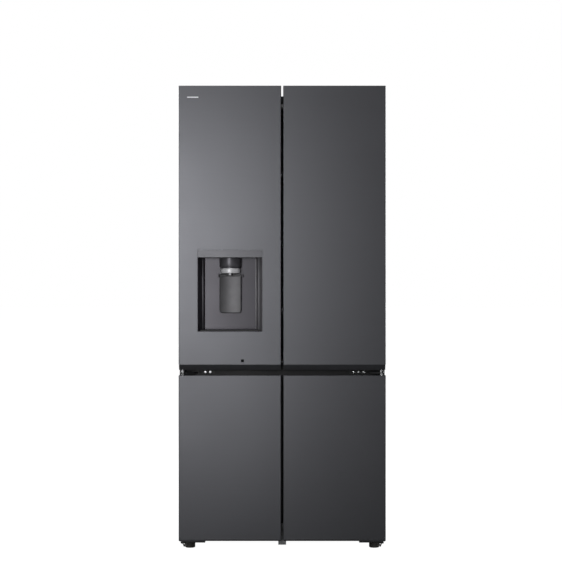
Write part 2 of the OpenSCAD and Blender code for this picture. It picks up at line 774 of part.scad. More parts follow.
// Recess space: narrower towards the back, with a floor that rises; grow makes it larger all round
module pocket(grow, front) intersection() {
    half = disp_w / 2 - 2.2;
    translate([door_cx, 0, disp_z0 - 20]) linear_extrude(disp_h) polygon([
        [-half - grow, front], [-half - grow, front_y + 8], [-half + pocket_taper - grow, disp_back + grow],
        [half - pocket_taper + grow, disp_back + grow], [half + grow, front_y + 8], [half + grow, front]]);
    along_x([door_cx - disp_w, door_cx + disp_w], [[front, disp_z0 + 2.5 - grow],
        [front_y + 60, disp_z0 + 2.5 - grow], [disp_back + grow, disp_z0 + 8 - grow],
        [disp_back + grow, pocket_z1 - 0.5 + grow * 0.2], [front, pocket_z1 - 0.5 + grow * 0.2]]);
}

module dispenser_housing() color(trim_black) {
    ear_x = paddle_w / 2 + 1;
    difference() {
        pocket(2, front_y);
        pocket(0, front_y - past);
        rod_z(door_cx, nozzle_y, [pocket_z1 - 4, pocket_z1 + 4], chute_r + 2.5);
    }
    for (s = [-1, 1]) difference() {
        block([door_cx + s * (ear_x + 3) - 3, door_cx + s * (ear_x + 3) + 3],
            [paddle_pin_y - 6, disp_back + eps],
            [paddle_pin_z - 6, paddle_pin_z + 6]);
        rod_x([door_cx + s * (ear_x + 3) - 4, door_cx + s * (ear_x + 3) + 4], paddle_pin_y,
            paddle_pin_z, 3 + pin_fit);
    }
}

module dispenser_display() color(steel_black) {
    block([door_cx - disp_w / 2 + 0.4, door_cx + disp_w / 2 - 0.4], [front_y, front_y + 3],
        [pocket_z1 + 0.4, disp_z1 - 0.4]);
    block([door_cx - disp_w / 2 + 20, door_cx + disp_w / 2 - 20], [front_y + 3 - eps, front_y + 14],
        [pocket_z1 + 4, disp_z1 - 4]);
}

// Round housing of the ice chute, its duct and the water tip
module dispenser_nozzle() color(trim_black) {
    difference() {
        union() {
            intersection() {
                rod_z(door_cx, nozzle_y, [nozzle_z0, pocket_z1 - 0.5], nozzle_r);
                pocket(-0.2, front_y);
            }
            rod_z(door_cx, nozzle_y, [pocket_z1 - 1, disp_z1 + 4], chute_r + 2);
        }
        rod_z(door_cx, nozzle_y, [nozzle_z0 - past, disp_z1 + 6], chute_r);
        block([door_cx - disp_w, door_cx + disp_w], [front_y - past, front_y + 15],
            [pocket_z1, disp_z1 + 10]);
    }
}

module dispenser_ring() color([0.8, 0.8, 0.83]) {
    difference() {
        rod_z(door_cx, nozzle_y, [nozzle_z0 - ring_h, nozzle_z0], ring_r);
        rod_z(door_cx, nozzle_y, [nozzle_z0 - ring_h - past, nozzle_z0 + past], chute_r + 1);
        block([door_cx - disp_w, door_cx + disp_w], [disp_back - 2, disp_back + 40],
            [nozzle_z0 - ring_h - past, nozzle_z0 + past]);
    }
    rod_z(door_cx, nozzle_y - ring_r + 7, [nozzle_z0 - ring_h - 8, nozzle_z0 - ring_h + eps], 4.5);
}

// Curved lever that a glass pushes back, hung from a pin at its top
module dispenser_paddle() color(trim_black) {
    z0 = paddle_z1 - paddle_h;
    y0 = paddle_pin_y - 4;
    intersection() {
        difference() {
            translate([door_cx, y0 - paddle_curve + 8, z0]) cylinder(h = paddle_h, r = paddle_curve,
                $fn = 96);
            translate([door_cx, y0 - paddle_curve + 8, z0 - past])
                cylinder(h = paddle_h + 2 * past, r = paddle_curve - 3, $fn = 96);
        }
        translate([0, disp_back, 0]) rotate([90, 0, 0]) linear_extrude(60)
            round_rect([door_cx - paddle_w / 2, door_cx + paddle_w / 2], [z0, paddle_z1], 8);
    }
    rod_x([door_cx - paddle_w / 2 - 6, door_cx + paddle_w / 2 + 6], paddle_pin_y, paddle_pin_z, 3);
    block([door_cx - 14, door_cx + 14], [y0 + 5, paddle_pin_y + 2], [paddle_pin_z - 3, paddle_pin_z + 3]);
}

// Slotted grille over the floor of the recess
module drip_tray() color(trim_black) {
    x = [door_cx - disp_w / 2 + 12, door_cx + disp_w / 2 - 12];
    difference() {
        intersection() {
            block(x, [front_y + 6, front_y + 52], [disp_z0 + 2, disp_z0 + 7]);
            pocket(-0.3, front_y);
        }
        for (i = [0:7]) block([x[0] + 14, x[1] - 14], [front_y + 10 + i * 5, front_y + 12 + i * 5],
            [disp_z0 + 2, disp_z0 + 8]);
    }
}

module sensor_window() color("black")
    block([sensor_x[0] + 0.1, sensor_x[1] - 0.1], [front_y + 0.1, front_y + cap_in],
        [sensor_z[0] + 0.1, sensor_z[1] - 0.1]);

// ---------- ice making, on the back of the left door ----------

auger_r = 5;
module ice_room_cover() color(liner_white) difference() {
    round_block([ice_x0, ice_x1], [door_back + 0.5, ice_y1], [ice_z0, ice_z1], 4);
    block([ice_x0 + ice_wall, ice_x1 - ice_wall], [door_back - past, ice_y1 - ice_wall],
        [ice_z0 + ice_wall, ice_z1 - ice_wall]);
    rod_z(auger_x, auger_y, [ice_z0 - past, ice_z0 + ice_wall + past], auger_r + pin_fit);
}

// Freezing tray with its drive box
module ice_maker() color([0.6, 0.62, 0.65]) {
    z0 = ice_z1 - 130;
    x0 = ice_x0 + ice_wall + 4;
    x1 = ice_x1 - ice_wall - 4;
    y = [door_back + 6, ice_y1 - ice_wall - 4];
    block([x0, x0 + 44], y, [z0, z0 + 100]);
    difference() {
        block([x0 + 44 - eps, x1], y, [z0 + 30, z0 + 66]);
        for (i = [0:5]) for (j = [0, 1])
            block([x0 + 50 + i * cube_pitch, x0 + 44 + (i + 1) * cube_pitch],
                [y[0] + 5 + j * 38, y[0] + 38 + j * 38],
                [z0 + 36, z0 + 70]);
    }
}
cube_pitch = (ice_x1 - ice_x0 - 2 * ice_wall - 8 - 44 - 6) / 6;

module ice_bin() color(clear) difference() {
    x = [ice_x0 + ice_wall + 2, ice_x1 - ice_wall - 2];
    y = [door_back + 4, ice_y1 - ice_wall - 2];
    tub(x, y, [ice_z0 + ice_wall + 2, ice_z1 - 150], 8);
    rod_z(auger_x, auger_y, [ice_z0, ice_z0 + ice_wall + 10], auger_r + pin_fit);
}

// Upright shaft with crushing blades at the bottom of the ice bin
module ice_auger() color(zinc) {
    z0 = ice_z0 + ice_wall + 2;
    rod_z(auger_x, auger_y, [ice_z0 + 1, z0 + 150], auger_r);
    for (i = [0:2]) translate([auger_x, auger_y, z0 + 12 + i * 16]) rotate([0, 0, i * 60])
        translate([-36, -5, 0]) cube([72, 10, 3]);
}

// ---------- shelves, bins and drawers ----------

function bin_z(i) = upper_dyke_z[0] + dyke_w + 4
    + i * (upper_dyke_z[1] - upper_dyke_z[0] - 2 * dyke_w - 20) / 4;

// Four bins of the right door
module door_bins() color(clear) mirror([1, 0, 0]) for (i = [0:3])
    tub([dyke_x0 + dyke_w + 4, dyke_x1 - dyke_w - 4], [door_back + 1, door_back + bin_d],
        [bin_z(i) + 24.5, bin_z(i) + 24.5 + bin_h], 10);

// One pane of the shelves
pane_x = in_x - 12;
split_y = (shelf_y0 + shelf_y1) / 2;
module pane(y, z) block([-pane_x, pane_x], y, [z, z + glass_t]);

module shelf_glass() color(clear) {
    pane([shelf_y0 + 8, shelf_y1 - 8], crisper_z);
    pane([split_y + 8, shelf_y1 - 8], mid_shelf_z);
    pane([shelf_y0 + 8, shelf_y1 - 8], top_shelf_z);
}

// Rim that holds a pane
module shelf_rim(y, z) difference() {
    block([-in_x + 4, in_x - 4], y, [z - 10, z + glass_t + 3]);
    block([-pane_x, pane_x], [y[0] + 8, y[1] - 8], [z, z + glass_t]);
    block([-pane_x + 8, pane_x - 8], [y[0] + 14, y[1] - 14], [z - 11, z + glass_t + 4]);
}

module shelf_frames() color([0.75, 0.77, 0.8]) {
    shelf_rim([shelf_y0, shelf_y1], crisper_z);
    shelf_rim([split_y, shelf_y1], mid_shelf_z);
    shelf_rim([shelf_y0, shelf_y1], top_shelf_z);
}

// Front half of the middle shelf, which slides back under its rear half
slide_z = mid_shelf_z - 22 - glass_t - 5;
module retractable_shelf() color(clear) {
    x = in_x - 14;
    block([-x, x], [shelf_y0 + 6, split_y - 3], [slide_z, slide_z + glass_t]);
    block([-x, x], [shelf_y0, shelf_y0 + 10], [slide_z - 4, slide_z + glass_t + 14]);
    for (s = [-1, 1]) block([s * x - 5, s * x + 5], [shelf_y0, split_y - 3],
        [slide_z - 4, slide_z + glass_t + 3]);
}

// A drawer tub with a grip lip on its front
module drawer(x, y, z) {
    tub(x, y, z, 10);
    along_x([x[0] + 12, x[1] - 12], [[y[0], z[1]], [y[0] - 8, z[1]], [y[0] - 8, z[1] - 14],
        [y[0] - 5, z[1] - 14],
        [y[0] - 5, z[1] - 3], [y[0], z[1] - 3]]);
}

module crisper_drawers() color(clear) both_sides()
    drawer([8, in_x - 12], [shelf_y0 + 14, shelf_y1 - 12], [fridge_z0 + 4, fridge_z0 + crisper_h]);

// Three freezer drawers a side; the lowest is short, in front of the machine room
function drawer_z(i) = i == 0 ? freezer_z0 + 6 : step_z + 12 + (i - 1) * (freezer_z1 - step_z) / 2;
drawer_h = (freezer_z1 - step_z) / 2 - 26;
module freezer_drawers(right) color(clear) on_side(right) for (i = [0:2])
    drawer([-in_x + 9, -div_x - 9], [face_y + 20, (i == 0 ? step_y : cover_y) - 8],
        [drawer_z(i), drawer_z(i) + (i == 0 ? step_z - freezer_z0 - 24 : drawer_h)]);

// ---------- cold air ----------

module air_duct_cover() color(liner_white) difference() {
    round_block([-140, 140], [liner_y - 12, liner_y], [crisper_z + 20, fridge_z1 - 30], 4);
    for (z = [mid_shelf_z + 60, top_shelf_z + 60, fridge_z1 - 90]) for (i = [-4:4])
        block([i * 26 - 9, i * 26 + 9], [liner_y - 13, liner_y + past], [z, z + 6]);
}

module freezer_rear_cover() color(liner_white) difference() {
    union() {
        block([-in_x + 1, in_x - 1], [cover_y, cover_y + 3], [step_z + 1, freezer_z1 - 1]);
        // motor and shaft of the freezer fan
        rod_y(0, [cover_y + 2, fan_y - 14], fan_z, 18);
        rod_y(0, [fan_y - 15, fan_y + 14], fan_z, fan_pin_r);
    }
    for (s = [-1, 1]) for (i = [0:5])
        block([s * (div_x + 90) - 40, s * (div_x + 90) + 40], [cover_y - past, cover_y + 4],
            [freezer_z1 - 110 + i * 12, freezer_z1 - 106 + i * 12]);
}

// Fins on a row of tubes
module finned_coil(x, y, z, fins, rows) {
    pitch = (x[1] - x[0] - 2) / (fins - 1);
    for (i = [0:fins - 1]) block([x[0] + i * pitch, x[0] + i * pitch + 2], y, z);
    for (i = [0:rows - 1]) for (j = [0, 1])
        rod_x([x[0] - 8, x[1] + 8], y[0] + (j + 0.5) * (y[1] - y[0]) / 2,
            z[0] + (i + 0.5) * (z[1] - z[0]) / rows, 4);
}

module evaporator() color(zinc)
    finned_coil([-in_x + 60, in_x - 60], [cover_y + 9, liner_y - 4], [step_z + 12, freezer_z1 - 140],
        18, 4);

// Hub with inclined blades; it turns about Z here
module fan(r, blades) difference() {
    union() {
        cylinder(h = 22, r = r * 0.3, center = true);
        for (i = [0:blades - 1]) rotate([0, 0, i * 360 / blades]) rotate([32, 0, 0])
            translate([0, -r * 0.2, -1]) cube([r - 2, r * 0.4, 2]);
    }
    cylinder(h = 30, r = fan_pin_r + pin_fit, center = true);
}

fan_pin_r = 3;
fan_z = freezer_z1 - 75;
fan_y = cover_y + 34;
module freezer_fan() color(liner_white) translate([0, fan_y, fan_z]) rotate([90, 0, 0]) fan(52, 7);

// ---------- machine room ----------

room_cy = (room_y + base_t + rear_y) / 2;
room_z0 = base_z + base_t;

// Hollow steel can on four rubber feet
module compressor() color([0.12, 0.12, 0.13]) {
    cx = -half_w * 0.55;
    translate([cx, room_cy, room_z0 + 12]) {
        rotate_extrude() difference() {
            union() {
                square([68, 120]);
                square([40, 148]);
                translate([40, 120]) circle(28);
            }
            translate([0, 9]) square([59, 112]);
            translate([-100, -1]) square([100, 200]);
            translate([0, 100]) square([38, 39]);
        }
        for (x = [-78, 78]) for (y = [-45, 45]) translate([x, y, -12]) cylinder(h = 16, r = 9);
        translate([-88, -55, 0]) cube([176, 110, 4]);
    }
}

module condenser() color([0.12, 0.12, 0.13])
    finned_coil([half_w * 0.2, half_w - 60], [room_cy - 50, room_cy + 50],
        [room_z0 + 12, room_z0 + 150], 14, 3);

cond_fan_x = -6;
cond_fan_z = room_z0 + 90;
module condenser_fan() color(trim_black)
    translate([cond_fan_x, room_cy, cond_fan_z]) rotate([0, 90, 0]) fan(62, 5);

// Vented plate over the machine room, with the mains gland and the water inlet stub
gland_x = -half_w + 110;
inlet_x = half_w - 110;
service_z = room_top - 46;
module machine_cover() color(zinc) {
    difference() {
        union() {
            block([-half_w + 6, half_w - 6], [rear_y, rear_y + 2], [base_z + 2, room_top + 10]);
            rod_y(gland_x, [rear_y, rear_y + 8], service_z, 11);
            for (x = [-half_w + 30, half_w - 70])
                block([x, x + 40], [rear_y + 2 - eps, rear_y + rear_space], [base_z + 20, base_z + 50]);
            rod_y(inlet_x, [rear_y + 2 - eps, rear_y + 8], service_z, 12);
            rod_y(inlet_x, [rear_y + 8 - eps, rear_y + rear_space - 1], service_z, 3.175);
        }
        rod_y(gland_x, [rear_y - past, rear_y + 9], service_z, 5);
        for (s = [-1, 1]) for (i = [0:9])
            block([s * half_w * 0.45 - 100, s * half_w * 0.45 + 100], [rear_y - past, rear_y + 3],
                [base_z + 60 + i * 12, base_z + 65 + i * 12]);
    }
}

// ---------- lamp and filter ----------

module fridge_lamp() color("white") block([-118, 118], [-58, 58], [fridge_z1 - 8, fridge_z1]);

module water_filter() color(liner_white) {
    fx = in_x - 60;
    rod_y(fx, [shelf_y0 + 20, shelf_y0 + 210], fridge_z1 - 34, 24);
    rod_y(fx, [shelf_y0 + 12, shelf_y0 + 21], fridge_z1 - 34, 27);
    block([fx - 20, fx + 20], [shelf_y0 + 60, shelf_y0 + 200], [fridge_z1 - 30, fridge_z1]);
}

// ---------- nodes ----------

module upper_left_caps() color(trim_black) upper_caps();
module upper_right_skin() color(steel_black) on_side(true) upper_skin();
module upper_right_caps() color(trim_black) on_side(true) upper_caps();
module upper_right_liner() color(liner_white) on_side(true) upper_right_liner_shape();
module lower_door_skin(right) color(steel_black) on_side(right) lower_skin();
module lower_door_liner(right) color(liner_white) on_side(right) lower_liner();

outer_shell();
rear_panel();
base_frame();
cabinet_insulation();
fridge_liner();
freezer_liner();
mid_rail();
freezer_mullion();
top_hinges();
hinge_covers();
center_hinges();
bottom_hinges();
hinge_bolts();
shelf_glass();
shelf_frames();
crisper_drawers();
freezer_drawers(false);  // freezer_drawers_left
freezer_drawers(true);  // freezer_drawers_right
air_duct_cover();
freezer_rear_cover();
evaporator();
compressor();
condenser();
machine_cover();
fridge_lamp();
water_filter();
retractable_shelf();
condenser_fan();
freezer_fan();
rear_roller(false);  // rear_roller_left
rear_roller(true);  // rear_roller_right
levelling_foot(false);  // levelling_foot_left
levelling_foot(true);  // levelling_foot_right
upper_left_skin();
upper_left_caps();
upper_left_liner();
upper_gasket();  // upper_left_gasket
dispenser_housing();
dispenser_display();
dispenser_nozzle();
dispenser_ring();
dispenser_paddle();
drip_tray();
ice_room_cover();
ice_maker();
ice_bin();
ice_auger();
flipper_mullion();
sensor_window();
upper_right_skin();
upper_right_caps();
upper_right_liner();
on_side(true) upper_gasket();  // upper_right_gasket
door_bins();
lower_door_skin(false);  // lower_left_skin
lower_door_liner(false);  // lower_left_liner
lower_gasket();  // lower_left_gasket
lower_door_skin(true);  // lower_right_skin
lower_door_liner(true);  // lower_right_liner
on_side(true) lower_gasket();  // lower_right_gasket
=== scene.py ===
"""A four-door refrigerator with an ice and water dispenser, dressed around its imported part."""
import json
import math

import bmesh
import bpy
import numpy as np
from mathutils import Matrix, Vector


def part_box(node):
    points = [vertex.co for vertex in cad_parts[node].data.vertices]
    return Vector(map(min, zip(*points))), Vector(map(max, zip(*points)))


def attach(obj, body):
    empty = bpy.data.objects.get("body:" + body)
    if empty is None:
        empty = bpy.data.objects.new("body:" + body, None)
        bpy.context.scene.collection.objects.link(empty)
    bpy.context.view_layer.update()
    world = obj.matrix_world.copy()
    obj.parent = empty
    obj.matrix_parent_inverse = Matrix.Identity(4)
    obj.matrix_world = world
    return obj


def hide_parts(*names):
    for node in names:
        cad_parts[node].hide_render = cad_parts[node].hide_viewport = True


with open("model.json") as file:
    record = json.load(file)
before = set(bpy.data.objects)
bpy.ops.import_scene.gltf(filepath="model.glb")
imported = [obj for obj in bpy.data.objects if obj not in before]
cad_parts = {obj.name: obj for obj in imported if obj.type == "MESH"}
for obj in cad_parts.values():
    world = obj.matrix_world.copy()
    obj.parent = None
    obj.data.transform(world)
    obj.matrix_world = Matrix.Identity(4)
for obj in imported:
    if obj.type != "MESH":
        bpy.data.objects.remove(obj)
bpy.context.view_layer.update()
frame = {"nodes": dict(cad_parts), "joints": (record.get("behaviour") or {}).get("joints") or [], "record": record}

MM = 0.001
WELD = 2e-6    # points of a CAD node closer than this are one point
SCENE = bpy.context.scene
BODY = {n: b for b, ns in frame["record"]["behaviour"]["bodies"].items() for n in ns}
SLOT = {s["node"]: s["material_slot"] for s in frame["record"]["subparts"]}
JOINT = {j["name"]: j for j in frame["joints"]}


def corners(node):
    """Lowest and highest corner of a CAD node as two arrays."""
    low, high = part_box(node)
    return np.array(low), np.array(high)


FRONT_Y = corners("upper_right_skin")[0][1]
DOOR_BACK = corners("upper_left_gasket")[0][1]
FACE_Y = corners("upper_left_gasket")[1][1]
REAR_Y = corners("outer_shell")[1][1]

# ---------------------------------------------------------------- camera

CAMERA_DISTANCE = 6.5
VIEW_WIDTH = 2.2645    # width of the view at the door fronts
VIEW_HEIGHT = 1.0877   # height of the view's centre above the floor
VIEW_SIDE = -0.0048    # sideways place of the view's centre
SENSOR_WIDTH = 36.0

camera_data = bpy.data.cameras.new("camera")
camera_data.sensor_width = SENSOR_WIDTH
camera_data.lens = SENSOR_WIDTH * CAMERA_DISTANCE / VIEW_WIDTH
camera = bpy.data.objects.new("camera", camera_data)
camera.location = (VIEW_SIDE, FRONT_Y - CAMERA_DISTANCE, VIEW_HEIGHT)
camera.rotation_euler = (math.pi / 2, 0, 0)
SCENE.collection.objects.link(camera)
SCENE.camera = camera
SCENE.view_settings.view_transform = "Standard"

# ---------------------------------------------------------------- material building


class Tree:
    """Adds nodes to a node tree and wires them in the same call."""

    def __init__(self, tree):
        self.tree = tree

    def add(self, kind, inputs=None, **settings):
        node = self.tree.nodes.new(kind)
        for key, value in settings.items():
            setattr(node, key, value)
        for key, value in (inputs or {}).items():
            if isinstance(value, bpy.types.NodeSocket):
                self.tree.links.new(value, node.inputs[key])
            else:
                node.inputs[key].default_value = value
        return node

    def math(self, operation, *values):
        node = self.add("ShaderNodeMath", dict(enumerate(values)), operation=operation)
        return node.outputs[0]

    def remap(self, value, low, high):
        node = self.add("ShaderNodeMapRange", {"Value": value, "From Min": low, "From Max": high})
        return node.outputs["Result"]

    def mix(self, factor, a, b):
        node = self.add("ShaderNodeMix", {0: factor, 6: a, 7: b}, data_type="RGBA")
        return node.outputs[2]

    def noise(self, vector, scale, detail=2.0, rough=0.5):
        node = self.add("ShaderNodeTexNoise", {"Vector": vector, "Scale": scale, "Detail": detail,
                                               "Roughness": rough})
        return node.outputs["Fac"]


def new_group(name, numbers, outputs):
    """An empty shader group with a Coordinates input, number inputs and number outputs."""
    group = bpy.data.node_groups.new(name, "ShaderNodeTree")
    group.interface.new_socket("Coordinates", in_out="INPUT", socket_type="NodeSocketVector")
    for label, value in numbers.items():
        socket = group.interface.new_socket(label, in_out="INPUT", socket_type="NodeSocketFloat")
        socket.default_value = value
    for label in outputs:
        group.interface.new_socket(label, in_out="OUTPUT", socket_type="NodeSocketFloat")
    tree = Tree(group)
    return group, tree, tree.add("NodeGroupInput").outputs, tree.add("NodeGroupOutput").inputs


def wire(tree, source, target):
    tree.tree.links.new(source, target)


def hairline_group():
    """Fine parallel scratches: noise squeezed across the brushing and stretched along it."""
    group, tree, given, out = new_group("hairlines", {"Along": 3.0, "Across": 900.0},
                                        ["Shade", "Height"])
    stretch = tree.add("ShaderNodeCombineXYZ", {0: given["Along"], 1: given["Across"],
                                                2: given["Across"]}).outputs[0]
    squeezed = tree.add("ShaderNodeVectorMath", {0: given["Coordinates"], 1: stretch},
                        operation="MULTIPLY").outputs[0]
    fine = tree.noise(squeezed, 1.0, 3.0, 0.7)
    broad = tree.noise(squeezed, 0.11, 2.0)
    wire(tree, tree.remap(tree.math("MULTIPLY_ADD", broad, 0.12, fine), 0.35, 0.75), out["Shade"])
    wire(tree, fine, out["Height"])
    return group


def moulded_group():
    """Fine pebbled skin of a moulded or powder-coated face, with a broader shade."""
    group, tree, given, out = new_group("moulded_skin", {"Scale": 1400.0}, ["Shade", "Height"])
    pebble = tree.noise(given["Coordinates"], given["Scale"], 2.0, 0.55)
    wide = tree.noise(given["Coordinates"], tree.math("MULTIPLY", given["Scale"], 0.02), 3.0)
    wire(tree, tree.remap(wide, 0.3, 0.7), out["Shade"])
    wire(tree, pebble, out["Height"])
    return group


def spangle_group():
    """Zinc crystals: cells with their own shade and a low relief between them."""
    group, tree, given, out = new_group("zinc_spangle", {"Scale": 90.0}, ["Shade", "Height"])
    warp = tree.add("ShaderNodeTexNoise", {"Vector": given["Coordinates"], "Scale": 40.0})
    shifted = tree.add("ShaderNodeVectorMath", {0: warp.outputs["Color"], 1: (0.012,) * 3,
                                                2: given["Coordinates"]},
                       operation="MULTIPLY_ADD").outputs[0]
    cells = tree.add("ShaderNodeTexVoronoi", {"Vector": shifted, "Scale": given["Scale"]})
    tint = tree.add("ShaderNodeSeparateColor", {0: cells.outputs["Color"]}).outputs[0]
    wire(tree, tint, out["Shade"])
    wire(tree, cells.outputs["Distance"], out["Height"])
    return group


def smudge_group():
    """Soft patches where hands and cloths have passed."""
    group, tree, given, out = new_group("smudges", {"Scale": 5.0}, ["Mask"])
    broad = tree.noise(given["Coordinates"], given["Scale"], 4.0, 0.6)
    streak = tree.noise(given["Coordinates"], tree.math("MULTIPLY", given["Scale"], 7.0), 2.0)
    total = tree.math("MULTIPLY_ADD", streak, 0.25, broad)
    wire(tree, tree.remap(total, 0.45, 0.85), out["Mask"])
    return group


def dust_group():
    """Dust that thins out with height above the floor and breaks up into specks."""
    group, tree, given, out = new_group("floor_dust", {"Reach": 0.08}, ["Mask"])
    height = tree.add("ShaderNodeSeparateXYZ", {0: given["Coordinates"]}).outputs[2]
    fade = tree.math("SUBTRACT", 1.0, tree.math("DIVIDE", height, given["Reach"]))
    specks = tree.noise(given["Coordinates"], 260.0, 4.0, 0.7)
    mask = tree.add("ShaderNodeMath", {0: fade, 1: specks}, operation="MULTIPLY", use_clamp=True)
    wire(tree, mask.outputs[0], out["Mask"])
    return group


GROUPS = {"hairlines": hairline_group(), "moulded": moulded_group(), "spangle": spangle_group(),
          "smudges": smudge_group(), "dust": dust_group()}
DUST = (0.34, 0.32, 0.29, 1.0)


def shaded(color, factor):
    return tuple(min(1.0, c * factor) for c in color[:3]) + (1.0,)


FINISH = {}


def finish(name, color, roughness, metallic=0.0, grain="moulded", sizes=None, shade=0.08,
           relief=0.01, smudge=0.06, dust=0.0, **constants):
    """Adds a finish: grain gives shade and relief, smudges vary the gloss, dust settles low down.
    sizes are the grain group's own inputs, and relief is the grain's depth in millimetres."""
    material = bpy.data.materials.new(name)
    material.use_nodes = True
    tree = Tree(material.node_tree)
    shader = material.node_tree.nodes["Principled BSDF"]
    shader.inputs["Metallic"].default_value = metallic
    for key, value in constants.items():
        shader.inputs[key.replace("_", " ").title().replace("Ior", "IOR")].default_value = value
    where = tree.add("ShaderNodeTexCoord").outputs["Object"]

    def group(kind, **values):
        node = tree.add("ShaderNodeGroup", node_tree=GROUPS[kind])
        wire(tree, where, node.inputs["Coordinates"])
        for key, value in values.items():
            node.inputs[key].default_value = value
        return node.outputs

    surface = group(grain, **(sizes or {}))
    patches = group("smudges")["Mask"]
    tone = tree.mix(surface["Shade"], shaded(color, 1 - shade), shaded(color, 1 + shade))
    if dust:
        cover = tree.math("MULTIPLY", group("dust")["Mask"], dust)
        tone = tree.mix(cover, tone, DUST)
    wire(tree, tone, shader.inputs["Base Color"])
    wire(tree, tree.math("MULTIPLY_ADD", patches, smudge, roughness), shader.inputs["Roughness"])
    if relief:
        bump = tree.add("ShaderNodeBump", {"Height": surface["Height"], "Distance": relief * MM,
                                           "Strength": 1.0})
        wire(tree, bump.outputs["Normal"], shader.inputs["Normal"])
    FINISH[name] = material


finish("door_steel", (0.165, 0.167, 0.181), roughness=0.36, metallic=0.86, grain="hairlines",
       sizes={"Along": 2, "Across": 650}, shade=0.014, relief=0.0008, smudge=0.02)
finish("cabinet_steel", (0.05, 0.052, 0.056), roughness=0.42, sizes={"Scale": 900}, relief=0.02,
       smudge=0.08, specular_ior_level=0.5)
finish("galvanised", (0.52, 0.53, 0.54), roughness=0.42, metallic=0.9, grain="spangle",
       sizes={"Scale": 110}, shade=0.16, smudge=0.1, dust=0.25)
finish("hinge_black", (0.035, 0.036, 0.038), roughness=0.38, sizes={"Scale": 1100}, shade=0.1,
       relief=0.03, smudge=0.1, dust=0.35)
finish("bolt_zinc", (0.78, 0.79, 0.8), roughness=0.22, metallic=1.0, grain="hairlines",
       sizes={"Along": 300, "Across": 2500}, relief=0.004, smudge=0.1)
finish("foam", (0.86, 0.76, 0.48), roughness=0.85, sizes={"Scale": 500}, shade=0.12, relief=0.3,
       smudge=0.05)
finish("liner_white", (0.8, 0.81, 0.82), roughness=0.3, sizes={"Scale": 260}, shade=0.02,
       relief=0.02, smudge=0.08)
# trim_black also serves as painted shade on the mid rail, along the paddle's outline and on one hinge bolt.
finish("trim_black", (0.018, 0.019, 0.021), roughness=0.42, sizes={"Scale": 1500}, shade=0.12,
       relief=0.02, smudge=0.08)
finish("paddle_grey", (0.17, 0.168, 0.176), roughness=0.42, metallic=0.8, sizes={"Scale": 2200},
       shade=0.05, relief=0.006)
finish("display_black", (0.143, 0.143, 0.154), roughness=0.34, metallic=0.86, sizes={"Scale": 300},
       shade=0.03, relief=0.002, smudge=0.05)
finish("ring_chrome", (0.95, 0.95, 0.98), roughness=0.36, metallic=0.3, grain="hairlines",
       sizes={"Along": 500, "Across": 1500}, shade=0.02, relief=0.0005, smudge=0.05)
finish("gasket", (0.055, 0.056, 0.06), roughness=0.62, sizes={"Scale": 1800}, shade=0.1,
       relief=0.02, smudge=0.08)
finish("clear_plastic", (0.93, 0.96, 0.97), roughness=0.05, sizes={"Scale": 120}, shade=0.01,
       relief=0.004, smudge=0.05, ior=1.49, transmission_weight=1.0)
finish("shelf_glass", (0.86, 0.95, 0.93), roughness=0.02, sizes={"Scale": 60}, shade=0.01,
       relief=0.0, smudge=0.04, ior=1.5, transmission_weight=1.0)
finish("shelf_trim", (0.62, 0.63, 0.66), roughness=0.3, metallic=0.75, grain="hairlines",
       sizes={"Along": 3, "Across": 1100}, shade=0.06, relief=0.003, smudge=0.05)
finish("aluminium", (0.72, 0.73, 0.74), roughness=0.36, metallic=1.0, grain="hairlines",
       sizes={"Along": 20, "Across": 800}, relief=0.006, smudge=0.08)
finish("ice_parts", (0.42, 0.44, 0.47), roughness=0.5, sizes={"Scale": 1300}, shade=0.06,
       relief=0.02)
finish("auger_steel", (0.66, 0.66, 0.67), roughness=0.3, metallic=1.0, grain="hairlines",
       sizes={"Along": 250, "Across": 1800}, shade=0.06, relief=0.006, smudge=0.08)
finish("lamp_white", (0.9, 0.9, 0.88), roughness=0.45, sizes={"Scale": 700}, shade=0.03,
       relief=0.02, smudge=0.05)
finish("foot_black", (0.03, 0.03, 0.031), roughness=0.5, sizes={"Scale": 1200}, shade=0.12,
       relief=0.03, smudge=0.1, dust=0.5)
finish("recess_gloss", (0.074, 0.070, 0.082), roughness=0.22, metallic=0.45, sizes={"Scale": 200},
       shade=0.03, relief=0.002, smudge=0.05)
finish("recess_wall", (0.045, 0.042, 0.052), roughness=0.3, metallic=0.3, sizes={"Scale": 900},
       shade=0.05, relief=0.006)
# painted light: this lighter grey stands for the key light caught on the recess's right wall and its rib
finish("recess_satin", (0.27, 0.265, 0.285), roughness=0.4, metallic=0.3, sizes={"Scale": 900},
       shade=0.04, relief=0.006)
finish("recess_rib", (0.07, 0.067, 0.078), roughness=0.36, metallic=0.4, sizes={"Scale": 900},
       shade=0.04, relief=0.006)
# painted highlight: this bright finish on the corner bead stands for the reflection along the recess's right
# corner
finish("bead_satin", (0.5, 0.5, 0.52), roughness=0.4, metallic=0.4, grain="hairlines",
       sizes={"Along": 3, "Across": 1100}, shade=0.03, relief=0.002, smudge=0.05)
finish("nozzle_gloss", (0.17, 0.166, 0.184), roughness=0.34, metallic=0.5, sizes={"Scale": 400},
       shade=0.03, relief=0.002, smudge=0.05)
finish("grip_satin", (0.06, 0.061, 0.068), roughness=0.36, metallic=0.3, sizes={"Scale": 1500},
       shade=0.06, smudge=0.07)
finish("sensor_black", (0.003, 0.003, 0.0035), roughness=0.35, sizes={"Scale": 1500}, shade=0.05,
       relief=0.002, smudge=0.05, specular_ior_level=0.1)
finish("thread_steel", (0.45, 0.45, 0.46), roughness=0.35, metallic=1.0, grain="hairlines",
       sizes={"Along": 300, "Across": 2000}, shade=0.1, relief=0.006, smudge=0.1, dust=0.4)

# ---------------------------------------------------------------- surfaces
# Outlines, radii, heights and edges are in millimetres. Corners, centres and levels are in
# metres, and so are a tube's path and radius.


